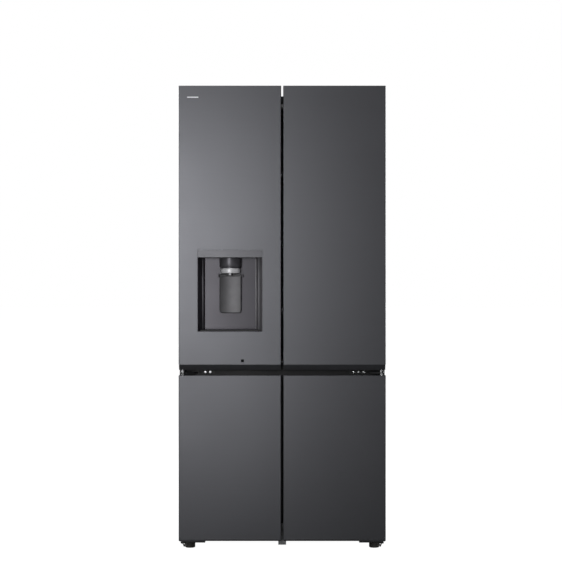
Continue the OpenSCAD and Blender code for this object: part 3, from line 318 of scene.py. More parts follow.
def quads(rows, columns, wrap_rows):
    """Faces of a grid of points whose rows are closed, as index numbers."""
    i, j = np.meshgrid(np.arange(rows if wrap_rows else rows - 1), np.arange(columns),
                       indexing="ij")
    i1, j1 = (i + 1) % rows, (j + 1) % columns
    return np.stack([i * columns + j, i * columns + j1, i1 * columns + j1, i1 * columns + j],
                    -1).reshape(-1, 4).tolist()


def skin(points, wrap_rows=False):
    """A surface of closed rows. Its first and last rows are capped unless the rows join up."""
    rows, columns = points.shape[:2]
    faces = quads(rows, columns, wrap_rows)
    if not wrap_rows:
        faces += [list(range(columns))[::-1], list(range((rows - 1) * columns, rows * columns))]
    return points.reshape(-1, 3), faces


def turn(points, axis):
    """Local points with their numbers moved round, so that the third one runs along the axis."""
    return np.roll(points, {"z": 0, "x": 1, "y": 2}[axis], axis=-1)


def circle(sides):
    """Angles once around, the last a step short of the first."""
    return np.linspace(0, 2 * math.pi, sides, endpoint=False)


def around(radius, angle, height):
    """Points at a radius and an angle about an axis, at a height along it."""
    radius, angle, height = np.broadcast_arrays(radius, angle, height)
    return np.stack([radius * np.cos(angle), radius * np.sin(angle), height], -1)


def revolve(centre, axis, profile, sides=48, ring=False):
    """Profile rows of (radius, height), each carried once around the axis through centre."""
    profile = np.array(profile, float) * MM
    local = around(profile[:, :1], circle(sides), profile[:, 1:])
    return skin(turn(local, axis) + np.array(centre), ring)


HEX_SIDES = 36    # points in a row that is a hexagon, six to each flat


def hex_radius(angle, across_corners):
    """Radius of a hexagon at an angle: the flat's distance over the cosine from its middle."""
    return across_corners * math.cos(math.pi / 6) / np.cos(angle % (math.pi / 3) - math.pi / 6)


def bolt_head(centre, axis, sign, radius, height, socket):
    """Round head with a hexagon socket: round rows outside, hexagon rows inside."""
    angle = circle(HEX_SIDES)
    round_rows = [(radius, 0), (radius, height - 0.8), (radius - 0.25, height - 0.25),
                  (radius - 0.8, height)]
    rows = [around(r, angle, h) for r, h in round_rows]
    for grow, h in ((0.35, height), (0.0, height - 0.35), (0.0, height * 0.35)):
        rows.append(around(hex_radius(angle, socket) + grow, angle, h))
    local = np.array(rows) * MM
    local[..., 2] *= sign
    return skin(turn(local, axis) + np.array(centre))


def rectangle_rows(low, high, radius, profile, steps=6):
    """Rows of a rounded rectangle. Each profile entry (grow, level) gives one row: the
    rectangle grown by grow on every side, its corner radius grown as much, at that level."""
    profile = np.array(profile, float) * MM
    grow = profile[:, :1]
    r = np.maximum(radius * MM + grow, 0.2 * MM)
    angle = (np.linspace(0, math.pi / 2, steps)[None] + np.arange(4)[:, None] * math.pi / 2).ravel()
    right = np.isin(np.repeat(np.arange(4), steps), (0, 3))
    upper = np.isin(np.repeat(np.arange(4), steps), (0, 1))
    u = np.where(right, high[0] + grow - r, low[0] - grow + r) + r * np.cos(angle)
    v = np.where(upper, high[1] + grow - r, low[1] - grow + r) + r * np.sin(angle)
    return np.stack([u, v, profile[:, 1:] + 0 * angle], -1)


def upright(low, high, radius, profile, level):
    """Rounded rectangle rows lying flat, stacked upwards from level."""
    points = rectangle_rows(low[:2], high[:2], radius, profile)
    points[..., 2] += level
    return skin(points)


def facing(low, high, radius, profile, level, ring=False, steps=6):
    """Rounded rectangle rows standing in the plane of the doors, stacked along Y from level.
    low and high are (x, z)."""
    points = rectangle_rows((low[1], low[0]), (high[1], high[0]), radius, profile, steps)
    points[..., 2] += level
    return skin(turn(points, "y"), ring)


def bar(low, high, soft=0.8, axis="z"):
    """A block with round edges: two end rows shrunk by the edge radius, two full rows."""
    order = {"z": (0, 1, 2), "x": (1, 2, 0), "y": (2, 0, 1)}[axis]
    low, high = np.array(low)[list(order)], np.array(high)[list(order)]
    length = (high[2] - low[2]) / MM
    steps = [(-soft, 0), (-soft * 0.3, soft * 0.3), (0, soft), (0, length - soft),
             (-soft * 0.3, length - soft * 0.3), (-soft, length)]
    points = rectangle_rows(low[:2], high[:2], soft, steps, 4)
    points[..., 2] += low[2]
    return skin(turn(points, axis))


def tube(path, radius, sides=12):
    """A round tube: circles square to the path, each turned on from the last without twist."""
    path = np.array(path, float)
    ahead = np.gradient(path, axis=0)
    ahead /= np.linalg.norm(ahead, axis=1, keepdims=True)
    side = np.cross(ahead[0], [0.3, 0.5, 0.8])
    angle = circle(sides)[:, None]
    rows = []
    for point, direction in zip(path, ahead):
        side = side - direction * (side @ direction)
        side /= np.linalg.norm(side)
        other = np.cross(direction, side)
        rows.append(point + radius * (np.cos(angle) * side + np.sin(angle) * other))
    return skin(np.array(rows))


def thread(centre, radius, low, high, pitch=1.75, depth=0.9):
    """A screw thread: the radius is a saw wave of height minus turn, flat at both ends."""
    rows, sides = int((high - low) / pitch * 7), 28
    h = np.linspace(low, high, rows)[:, None]
    angle = circle(sides)[None]
    wave = np.abs(((h / pitch - angle / (2 * math.pi)) % 1.0) * 2 - 1)
    r = (radius - depth * wave) * MM
    return skin(around(r, angle, h * MM) + np.array(centre))


# ---------------------------------------------------------------- pieces


def put(name, shells, node, look=None, slot=None, stands_for=True, sharp=32):
    """One object from one or more shells, with faces outward. It rides on the node's body.
    look names its finish, which is otherwise its slot's, and sharp is the smoothing angle."""
    points, faces, start = [], [], 0
    for shell_points, shell_faces in shells:
        points.append(shell_points)
        faces += [[i + start for i in face] for face in shell_faces]
        start += len(shell_points)
    mesh = bpy.data.meshes.new(name)
    mesh.from_pydata(np.concatenate(points).tolist(), [], faces)
    work = bmesh.new()
    work.from_mesh(mesh)
    bmesh.ops.remove_doubles(work, verts=work.verts, dist=1e-6)
    bmesh.ops.recalc_face_normals(work, faces=work.faces)
    work.to_mesh(mesh)
    work.free()
    mesh.shade_smooth()
    mesh.set_sharp_from_angle(angle=math.radians(sharp))
    piece = bpy.data.objects.new(name, mesh)
    SCENE.collection.objects.link(piece)
    mesh.materials.append(FINISH[look or slot or SLOT[node]])
    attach(piece, BODY[node])
    if stands_for:
        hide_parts(node)
    return piece


def refined(node, edge, look=None, choose=None, others=(), segments=2, merge=True):
    """A copy of a CAD node with merged points and edges rounded by edge millimetres.
    choose(centre, normal) gives each face's place in the list of look and others.
    merge joins flat neighbours into one face, and is off where that face would be a ring."""
    mesh = frame["nodes"][node].data.copy()
    piece = bpy.data.objects.new(node + "_piece", mesh)
    SCENE.collection.objects.link(piece)
    for layer in [a.name for a in mesh.attributes if a.name == "custom_normal"]:
        mesh.attributes.remove(mesh.attributes[layer])
    work = bmesh.new()
    work.from_mesh(mesh)
    bmesh.ops.remove_doubles(work, verts=work.verts, dist=WELD)
    if merge:
        bmesh.ops.dissolve_limit(work, angle_limit=math.radians(0.4), verts=work.verts,
                                 edges=work.edges)
    work.to_mesh(mesh)
    work.free()
    mesh.shade_smooth()
    mesh.set_sharp_from_angle(angle=math.radians(30))
    mesh.materials.clear()
    mesh.materials.append(FINISH[look or SLOT[node]])
    if choose:
        for other in others:
            mesh.materials.append(FINISH[other])
        for face in mesh.polygons:
            face.material_index = int(choose(face.center, face.normal))
    if edge:
        bevel = piece.modifiers.new("rounded_edges", "BEVEL")
        bevel.width = edge * MM
        bevel.segments = segments
        bevel.limit_method = "ANGLE"
        bevel.angle_limit = math.radians(38)
        flat = piece.modifiers.new("flat_faces", "WEIGHTED_NORMAL")
        flat.mode = "FACE_AREA"
        flat.weight = 100
        flat.keep_sharp = True
    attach(piece, BODY[node])
    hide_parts(node)


def solids(node):
    """Lowest and highest corner of each separate solid of a CAD node, from the lowest up. Every
    point starts with its own label, and the lowest label spreads over each face until none change."""
    data = frame["nodes"][node].data
    place = np.array([v.co for v in data.vertices])
    _, same = np.unique(np.round(place / WELD).astype(np.int64), axis=0, return_inverse=True)
    same = same.ravel()
    label = np.arange(same.max() + 1)
    loops = np.array([same[list(f.vertices)][:3] for f in data.polygons])
    while True:
        low = label[loops].min(axis=1)
        fresh = label.copy()
        np.minimum.at(fresh, loops.ravel(), np.repeat(low, 3))
        fresh = fresh[fresh]
        if (fresh == label).all():
            break
        label = fresh
    found = [place[label[same] == k] for k in np.unique(label)]
    boxes = [(p.min(axis=0), p.max(axis=0)) for p in found]
    return sorted(boxes, key=lambda b: (round(b[0][2], 3), round(b[0][0], 3)))


# ---------------------------------------------------------------- doors

STEEL_EDGE, CAP_EDGE, LINER_EDGE = 0.22, 0.5, 0.9     # edge roundings in millimetres
GROOVE_BACK = DOOR_BACK - 2.5 * MM    # the lower doors' grip grooves lie in front of this
for name in ("upper_left_skin", "upper_right_skin", "lower_left_skin", "lower_right_skin"):
    refined(name, STEEL_EDGE)
for name in ("upper_left_caps", "upper_right_caps"):
    refined(name, CAP_EDGE, "grip_satin")
refined("upper_left_liner", LINER_EDGE, segments=3)
refined("upper_right_liner", LINER_EDGE, segments=3, merge=False)
for name in ("lower_left_liner", "lower_right_liner"):
    refined(name, CAP_EDGE, choose=lambda centre, normal: centre.y < GROOVE_BACK,
            others=["grip_satin"])


def gasket(node):
    """Magnetic door seal: a bellows profile carried around the rounded frame of the door."""
    low, high = corners(node)
    depth = (high[1] - low[1]) / MM
    fold = [(-2.5, 0), (-4.2, 1.8), (-1.6, 3.6), (-4.2, 5.4), (0, 7.4), (0, depth - 0.7),
            (-0.6, depth), (-12.4, depth), (-13, depth - 0.7), (-13, 7.4), (-8.8, 5.4),
            (-11.4, 3.6), (-8.8, 1.8), (-10.5, 0)]
    put(node + "_piece", [facing(low[[0, 2]], high[[0, 2]], 5, fold, low[1], ring=True)], node,
        sharp=50)


for name in ("upper_left", "upper_right", "lower_left", "lower_right"):
    gasket(name + "_gasket")

# plain printed bar at the top of the dispenser door, a film thick
BADGE_SIDE, BADGE_HALF = 57 * MM, 23 * MM        # its middle from the door's edge, and half of it
BADGE_TOP, BADGE_BOTTOM = 44.4 * MM, 49 * MM     # its edges, down from the door's top
badge_x, badge_z = corners("upper_left_skin")[0][0] + BADGE_SIDE, corners("upper_left_skin")[1][2]
badge = facing((badge_x - BADGE_HALF, badge_z - BADGE_BOTTOM),
               (badge_x + BADGE_HALF, badge_z - BADGE_TOP), 2.2,
               [(-1.2, 0.4), (0, 0.4), (0, 0), (-0.1, -0.03), (-0.3, -0.05), (-1.2, -0.05)], FRONT_Y)
put("door_badge", [badge], "upper_left_skin", slot="ring_chrome", stands_for=False)

# ---------------------------------------------------------------- dispenser

recess_low, recess_high = corners("dispenser_housing")
door_cx = (recess_low[0] + recess_high[0]) / 2
recess_back = FRONT_Y + 80 * MM    # the flat back of the recess
chute_y = FRONT_Y + 50 * MM        # the chute's upright axis
WALL_FROM = 95 * MM                # the side walls lie further than this from the middle


def recess_face(centre, normal):
    """0 for walls and frame, 1 for the back, 2 for the right wall, whose lighter finish is painted light for the
    key light it catches.
    """
    if centre.y > recess_back - 1 * MM:
        return 1
    return 2 if centre.x > door_cx + WALL_FROM and normal.x < -0.3 else 0


refined("dispenser_housing", 0.5, "recess_wall", recess_face, ["recess_gloss", "recess_satin"])
refined("dispenser_display", 0.35)
refined("drip_tray", 0.3)
refined("sensor_window", 0.3, "sensor_black")


def recess_ribs():
    """Upright trims on the recess's slanted side walls: a bead in the right corner, painted bright as a painted
    highlight of that corner's reflection, and a rib on each wall, the right one painted lighter as painted light.
    Each stands proud of the wall at its own distance from the corner."""
    place = np.array([v.co for v in frame["nodes"]["dispenser_housing"].data.vertices])
    back = place[np.abs(place[:, 1] - recess_back) < 0.5 * MM]
    half_back = np.abs(back[:, 0] - door_cx).max()
    bottom, top = recess_low[2] + 9 * MM, recess_high[2] - 3 * MM
    slope = 72 / 24          # depth over width of a side wall

    proud = 1.5              # how far a trim stands out from its wall, in millimetres

    def strip(side, start, width):
        x = door_cx + side * (half_back + np.array([start, start + width]) * MM)
        front = recess_back - ((start + width) * slope + proud) * MM
        return bar((x.min(), front, bottom), (x.max(), front + (width * slope + 1) * MM, top), 0.5)

    for name, side, start, width, look, slot in (
            ("recess_corner_bead", 1, -0.8, 2.4, "bead_satin", "shelf_trim"),
            ("recess_right_rib", 1, 10.5, 4.0, "recess_satin", None),
            ("recess_left_rib", -1, 4.5, 6.0, "recess_rib", None)):
        put(name, [strip(side, start, width)], "dispenser_housing", look, slot, stands_for=False)


recess_ribs()


def dispenser_chute():
    """Chute housing: a waisted body of revolution with a groove above its lower lip, cut flat
    where it meets the back of the recess."""
    low, high = corners("dispenser_nozzle")
    ring_low, ring_high = corners("dispenser_ring")
    top = recess_high[2] - 2.6 * MM
    radius = (high[0] - low[0]) / 2 / MM
    tall = (top - low[2]) / MM
    outside = [(28, 0), (radius - 3.4, 0), (radius - 2.4, 0.5), (radius - 2.0, 1.4),
               (radius - 2.0, 3.2), (radius - 3.6, 3.8), (radius - 3.6, 5.0), (radius - 0.5, 5.8),
               (radius, 6.8), (radius - 0.2, tall * 0.5), (radius, tall - 0.6),
               (radius - 0.6, tall)]
    stem = (high[2] - low[2]) / MM
    inside = [(30, tall), (30, stem - 0.4), (29.6, stem), (28, stem)]
    points, faces = revolve((door_cx, chute_y, low[2]), "z", outside + inside, 72, ring=True)
    points[:, 1] = np.minimum(points[:, 1], recess_back - 0.6 * MM)
    put("dispenser_nozzle_piece", [(points, faces)], "dispenser_nozzle", "nozzle_gloss")

    wide = (ring_high[0] - ring_low[0]) / 2 / MM
    tip_low = ring_low[2]
    base = tip_low + 8 * MM
    lip = [(29.4, 0.8), (30.2, 0.15), (31.5, 0), (wide - 2.2, 0), (wide - 0.8, 0.35),
           (wide - 0.15, 1.2), (wide, 2.6), (wide, 17.2), (wide - 0.5, 18.6), (wide - 2, 19.8),
           (30, 19.8), (29.4, 19)]
    ring_points, ring_faces = revolve((door_cx, chute_y, base), "z", lip, 72, ring=True)
    ring_points[:, 1] = np.minimum(ring_points[:, 1], recess_back - 2.2 * MM)
    tip_y = chute_y - wide * MM + 7 * MM
    tip = revolve((door_cx, tip_y, tip_low), "z",
                  [(2.2, 0.5), (2.6, 0), (3.9, 0), (4.4, 0.6), (4.5, 2.2), (4.5, 8.6), (2.2, 8.6)],
                  24, ring=True)
    put("dispenser_ring_piece", [(ring_points, ring_faces), tip], "dispenser_ring")


dispenser_chute()


def dispenser_paddle():
    """Cupped lever on a grid of width and height. Near its sides the ends of each column draw in
    as a quarter circle, which rounds the corners. The face is bent to a cylinder, and its edge
    rolls back as the square of the distance still left to the outline."""
    low, high = corners("dispenser_paddle")
    pin_y, pin_z = JOINT["paddle_hinge"]["pos_m"][1:]
    half, tall, corner, rim, wall, bend = 44.0, 160.0, 10.0, 2.6, 3.0, 200.0
    behind = 1.35                       # from the pin's axis back to the middle of the face
    roll_width, roll_depth = 1.5, 0.9   # how wide and how deep the edge rolls back
    pin_half, pin_r, lug_half = 40, 3, 14

    def inset(x):
        past = np.maximum(np.abs(x) - (half - corner), 0)
        return corner - np.sqrt(np.maximum(corner ** 2 - past ** 2, 0))

    def from_edge(x, z):
        return np.minimum(half - np.abs(x), np.minimum(z - inset(x), tall - inset(x) - z))

    edge = np.array([0, 0.4, 0.9, roll_width, rim, 4.2, 7.0])    # close rows near the outline
    x = np.concatenate([edge - half, np.linspace(corner - half, half - corner, 21),
                        half - edge[::-1]])[None]
    part = np.concatenate([edge, np.linspace(corner, tall - corner, 15),
                           tall - edge[::-1]])[:, None] / tall
    z = inset(x) + part * (tall - 2 * inset(x))
    roll = roll_depth * np.maximum(1 - from_edge(x, z) / roll_width, 0) ** 2
    cup = np.sqrt(bend ** 2 - x ** 2) - bend + behind
    front = np.stack([x + 0 * z, cup + roll, z], -1)
    back = np.stack([x + 0 * z, cup + wall + 0 * z, z], -1)[:, ::-1]
    points, faces = skin(np.concatenate([front, back], axis=1) * MM)
    points = points + np.array([door_cx, pin_y, low[2]])
    pin = revolve((door_cx - pin_half * MM, pin_y, pin_z), "x",
                  [(0, 0), (pin_r - 0.4, 0), (pin_r, 0.4), (pin_r, 2 * pin_half - 0.4),
                   (pin_r - 0.4, 2 * pin_half), (0, 2 * pin_half)], 20)
    lug = bar((door_cx - lug_half * MM, pin_y + 2 * MM, pin_z - pin_r * MM),
              (door_cx + lug_half * MM, pin_y + 4 * MM, pin_z + pin_r * MM), 1.0, "x")
    piece = put("dispenser_paddle_piece", [(points, faces), pin, lug], "dispenser_paddle", sharp=40)
    # Faces nearer the outline than rim take trim_black: painted shade for the dark gap round the lever.
    piece.data.materials.append(FINISH["trim_black"])
    for face in piece.data.polygons:
        across, up = (face.center.x - door_cx) / MM, (face.center.z - low[2]) / MM
        face.material_index = int(from_edge(across, up) < rim)


dispenser_paddle()

# ---------------------------------------------------------------- hinges, bolts, feet

refined("top_hinges", 0.4)
refined("hinge_covers", 1.6, segments=3)


PIN_REACH = 9 * MM      # everything closer than this to a hinge axis is pin
SHORT_BOLT = 13 * MM    # the bolts along Y are less high than this, those along Z higher


def on_pin(centre, normal):
    """True on the round side of a centre hinge's pins."""
    pin = JOINT["lower_right_door_hinge"]["pos_m"]
    away = math.hypot(abs(centre.x) - pin[0], centre.y - pin[1])
    return abs(normal.z) < 0.5 and away < PIN_REACH


refined("center_hinges", 0.4, choose=on_pin, others=["bolt_zinc"])
refined("bottom_hinges", 0.4)
# The mid rail's trim_black is partly its own dark paint and partly painted shade for the gap between the upper and
# lower doors.
refined("mid_rail", 0.4, "trim_black")
refined("freezer_mullion", 0.5)
refined("flipper_mullion", 0.6)


def hinge_bolts():
    """Button heads with hexagon sockets on their stems, at the solids of the CAD bolts. The outermost bolt of the
    left centre hinge is painted black as painted shade, for the shadow it lies in."""
    bolts = solids("hinge_bolts")
    shells = []
    for low, high in bolts:
        middle = (low + high) / 2
        if high[2] - low[2] < SHORT_BOLT:
            seat = low[1] + 5.5 * MM
            shells.append(bolt_head((middle[0], seat, middle[2]), "y", -1, 5.6, 5.4, 2.9))
            shells.append(revolve((middle[0], seat - 0.2 * MM, middle[2]), "y",
                                  [(0, 0), (2.85, 0), (2.85, 14.8), (2.4, 15.4), (0, 15.4)], 20))
        else:
            seat = high[2] - 5 * MM
            stem = (seat - low[2]) / MM + 0.2
            shells.append(bolt_head((middle[0], middle[1], seat), "z", 1, 6.6, 4.9, 3.2))
            shells.append(revolve((middle[0], middle[1], low[2]), "z",
                                  [(0, 0), (3.4, 0), (3.9, 0.5), (3.9, stem), (0, stem)], 20))
    piece = put("hinge_bolts_piece", shells, "hinge_bolts")
    piece.data.materials.append(FINISH["trim_black"])
    # painted shade: the outermost front bolt of the left centre hinge takes trim_black
    outer = min(low[0] for low, high in bolts if high[2] - low[2] < SHORT_BOLT)
    for face in piece.data.polygons:
        front = face.center.y < FACE_Y + 13 * MM and face.center.z < 1.0
        face.material_index = int(front and face.center.x < outer + 12 * MM)


hinge_bolts()

LUG_DROP = 17    # millimetres from the bottom hinge's lug point up to its plate
FOOT_GAP = 4     # millimetres from the foot's cup up to that plate


def levelling_foot(node):
    """Round foot cup with a rolled bottom edge and grip flutes, a hexagon and a thread. The
    flutes are a cosine of the angle, taken off the radius of the cup's side."""
    low, high = corners(node)
    middle = (low + high) / 2
    centre = np.array([middle[0], middle[1], 0.0])
    r = (high[0] - low[0]) / 2 / MM
    roll = np.linspace(-math.pi / 2, 0, 7)
    rows = [(0.0, 0.0)] + [(r - 4 + 4 * math.cos(a), 4 + 4 * math.sin(a)) for a in roll]
    top = corners("bottom_hinges")[0][2] / MM + LUG_DROP - FOOT_GAP
    rows += [(r, top - 1.4), (r - 0.4, top - 0.5), (r - 1.2, top), (r - 4, top), (r - 5, top - 0.7),
             (11.5, top - 1), (0.0, top - 1)]
    points, faces = revolve(centre, "z", rows, 96)
    local = points - centre
    angle = np.arctan2(local[:, 1], local[:, 0])
    side = (local[:, 2] > 4.5 * MM) & (local[:, 2] < (top - 0.8) * MM)
    outer = np.hypot(local[:, 0], local[:, 1]) > (r - 0.6) * MM
    flutes, deep = 24, 0.5 * MM
    flute = np.where(side & outer, deep * (0.5 + 0.5 * np.cos(angle * flutes)), 0.0)
    points[:, :2] -= local[:, :2] * (flute / np.maximum(np.hypot(*local[:, :2].T), 1e-6))[:, None]
    step = circle(HEX_SIDES)
    hexagon = [around(hex_radius(step, across), step, h)
               for across, h in ((11.0, top - 1.2), (11.0, top + 1.4), (10.2, top + 2))]
    hexagon.append(around(5.2, step, top + 2))
    put(node + "_piece", [(points, faces), skin(np.array(hexagon) * MM + centre)], node)
    put(node + "_stem", [thread(centre, 5.0, top + 1.6, high[2] / MM)], node, "thread_steel",
        stands_for=False)


levelling_foot("levelling_foot_left")
levelling_foot("levelling_foot_right")


def roller(node):
    """Wheel with a crowned grooved tread, a dished web and a hub, open on its axle."""
    low, high = corners(node)
    middle = (low + high) / 2
    r = (high[2] - low[2]) / 2 / MM
    tread = [(r - 1.2, -10), (r - 0.3, -9.4), (r, -8.4), (r, -3.4), (r - 0.9, -2.8),
             (r - 0.9, -1.6), (r, -1.0), (r, 1.0), (r - 0.9, 1.6), (r - 0.9, 2.8), (r, 3.4),
             (r, 8.4), (r - 0.3, 9.4), (r - 1.2, 10)]
    face = [(r - 3.4, 10), (r - 4.2, 9.2), (r - 4.6, 7.2), (9.2, 7.0), (8.2, 7.6), (8, 8.6),
            (8, 11), (7.4, 11.5), (5, 11.5), (4.3, 11.0)]
    mirrored = [(radius, -level) for radius, level in face[::-1]]
    put(node + "_piece", [revolve(middle, "x", tread + face + mirrored, 56, ring=True)], node)


roller("rear_roller_left")
roller("rear_roller_right")


def fan(node, axis, reach, blades):
    """Hub with a domed nose and blades: at each radius a thin lens section, turned by a pitch
    that eases towards the tip and swept back as the square of the radius."""
    centre = np.array(JOINT[node + "_spin"]["pos_m"])
    r = reach - 2
    bore = 3.3
    hub = [(bore, -11), (r * 0.26, -11), (r * 0.3, -10), (r * 0.3, 5), (r * 0.285, 8.5),
           (r * 0.22, 10.4), (r * 0.12, 11), (bore, 11)]
    shells = [revolve(centre, axis, hub, 48, ring=True)]
    span = np.linspace(0.24, 1.0, 14)[:, None]
    loop = circle(26)[None]
    chord = r * (0.34 + 0.12 * span)
    along = np.cos(loop) * chord / 2
    thick = np.sin(loop) * (1.5 - 0.6 * span) * np.sqrt(np.maximum(1 - np.cos(loop) ** 2, 0.02))
    camber = -0.05 * chord * (1 - np.cos(loop) ** 2)
    pitch = np.radians(36 - 12 * span)
    height = along * np.sin(pitch) + (thick + camber) * np.cos(pitch)
    across = along * np.cos(pitch) - (thick + camber) * np.sin(pitch)
    sweep = 0.22 * span ** 2 + across / (r * span)
    base = around(r * span, sweep, height) * MM
    for k in range(blades):
        a = 2 * math.pi * k / blades
        spin = np.array([[math.cos(a), math.sin(a), 0], [-math.sin(a), math.cos(a), 0], [0, 0, 1]])
        shells.append(skin(turn(base @ spin, axis) + centre))
    put(node + "_piece", shells, node)


fan("condenser_fan", "x", 62, 5)
fan("freezer_fan", "y", 52, 7)

# ---------------------------------------------------------------- cabinet

for name, edge, segments in (
        ("outer_shell", 0.35, 2), ("rear_panel", 0.3, 2), ("base_frame", 0.3, 2),
        ("cabinet_insulation", 0.0, 2), ("fridge_liner", LINER_EDGE, 3),
        ("freezer_liner", LINER_EDGE, 3), ("machine_cover", 0.3, 2), ("air_duct_cover", 0.6, 2),
        ("freezer_rear_cover", 0.5, 2), ("fridge_lamp", 0.9, 3), ("ice_room_cover", LINER_EDGE, 3),
        ("ice_maker", 0.6, 2), ("ice_bin", 0.4, 2), ("ice_auger", 0.3, 2), ("shelf_glass", 0.6, 2),
        ("retractable_shelf", 0.6, 2), ("shelf_frames", 0.6, 2)):
    refined(name, edge, segments=segments)


def rear_beads():
    """Stiffening beads pressed outward in the rear panel: a low round ridge carried around
    rounded rectangles, and screws along the panel's and the service cover's edges."""
    low, high = corners("outer_shell")
    cover_low, cover_high = corners("machine_cover")
    ridge = [(-7, -0.2), (-5.6, 0.25), (-3.6, 1.3), (-1.5, 1.9), (0, 2.1), (1.5, 1.9), (3.6, 1.3),
             (5.6, 0.25), (7, -0.2)]
    bottom, top = cover_high[2] + 60 * MM, high[2] - 250 * MM
    left, right = low[0] + 110 * MM, high[0] - 60 * MM
    beads, apart = 3, 22 * MM
    shells = []
    for k in range(beads):
        z0 = bottom + (top - bottom) * k / beads + apart
        z1 = bottom + (top - bottom) * (k + 1) / beads - apart
        shells.append(facing((left, z0), (right, z1), 40, ridge, REAR_Y, ring=True, steps=9))
    put("rear_panel_beads", shells, "rear_panel", stands_for=False)
    screws = []
    head = [(0, 2.3), (1.6, 2.25), (3.0, 1.8), (3.9, 0.9), (4.1, 0), (4.1, -0.3), (0, -0.3)]
    inset = 14 * MM
    for z in np.linspace(cover_high[2] + 30 * MM, high[2] - 25 * MM, 7):
        for x in (low[0] + inset, high[0] - inset):
            screws.append(revolve((x, REAR_Y, z), "y", head, 20))
    for x in np.linspace(cover_low[0] + inset, cover_high[0] - inset, 6):
        for z in (cover_low[2] + 8 * MM, cover_high[2] - 6 * MM):
            screws.append(revolve((x, REAR_Y + 2 * MM, z), "y", head, 20))
    put("rear_screws", screws, "rear_panel", slot="bolt_zinc", stands_for=False)


rear_beads()


def water_filter():
    """Filter cartridge along Y in its ceiling bracket. The grip ribs on its cap are a cosine of
    the angle, which draws in every point near the full radius."""
    low, high = corners("water_filter")
    x, z = (low[0] + high[0]) / 2, low[2] + 27 * MM
    length = (high[1] - low[1]) / MM
    rows = [(0, 0), (16, 0), (24.5, 1.0), (26.6, 2.6), (27, 5), (27, 8.4), (26.2, 9.0),
            (24, 9.2), (24, length - 3), (23.2, length - 0.8), (21, length), (0, length)]
    points, faces = revolve((x, low[1], z), "y", rows, 96)
    dx, dz = points[:, 0] - x, points[:, 2] - z
    reach = np.hypot(dx, dz)
    ribs, deep = 24, 0.03
    wave = 0.5 + 0.5 * np.cos(np.arctan2(dz, dx) * ribs)
    ribbed = np.where(reach > 26.3 * MM, 1 - deep * wave, 1.0)
    points[:, 0], points[:, 2] = x + dx * ribbed, z + dz * ribbed
    bracket = bar((x - 20 * MM, low[1] + 48 * MM, z + 4 * MM),
                  (x + 20 * MM, high[1] - 10 * MM, high[2]), 2.0, "y")
    put("water_filter_piece", [(points, faces), bracket], "water_filter")


water_filter()

# ---------------------------------------------------------------- tubs


def tub(low, high, wall=2.2, radius=14):
    """Moulded tub: rounded rectangle rows run up the drafted wall, out and over the rolled rim,
    and down inside to the floor."""
    h = (high[2] - low[2]) / MM
    out, floor = -2.4, 2.6
    rows = [(out - 6, 0), (out - 3.6, 0.5), (out - 2.4, 2.0), (out - 2, 4.5), (out, h - 9),
            (-0.5, h - 8.4), (0, h - 7.6), (0, h - 0.8), (-0.6, h - 0.1), (-1.6, h),
            (out - wall + 0.9, h), (out - wall, h - 1), (out - wall - 2, floor + 4.5),
            (out - wall - 2.6, floor + 1.6), (out - wall - 4.6, floor)]
    return upright(low, high, radius, rows, low[2])


def pull_lip(low, high):
    """Finger lip along a drawer's top front edge: a hooked profile carried along X."""
    x0, x1 = low[0] + 24 * MM, high[0] - 24 * MM
    y, z = low[1] + 8 * MM, high[2]
    outline = np.array([(1.0, 0), (-7.2, 0), (-8, -0.8), (-8, -13.2), (-7.2, -14), (-5.8, -14),
                        (-5, -13.2), (-5, -3.6), (-4.4, -3), (1.0, -3)]) * MM
    x = np.array([x0, x0 + 0.6 * MM, x1 - 0.6 * MM, x1])
    pull = np.array([0.9, 1.0, 1.0, 0.9])[:, None]
    rows = np.stack([x[:, None] + 0 * outline[:, 0], y + outline[:, 0] * pull,
                     z + outline[:, 1] * pull], -1)
    return skin(rows)


def drawers(node):
    """A tub with a finger lip at each solid of the node. The lip fills the front 8 mm."""
    shells = []
    for low, high in solids(node):
        body_low = low + np.array([0, 8 * MM, 0])
        shells += [tub(body_low, high), pull_lip(low, high)]
    put(node + "_piece", shells, node)


for name in ("crisper_drawers", "freezer_drawers_left", "freezer_drawers_right"):
    drawers(name)
put("door_bins_piece", [tub(low, high) for low, high in solids("door_bins")], "door_bins")

# ---------------------------------------------------------------- machine room and coils


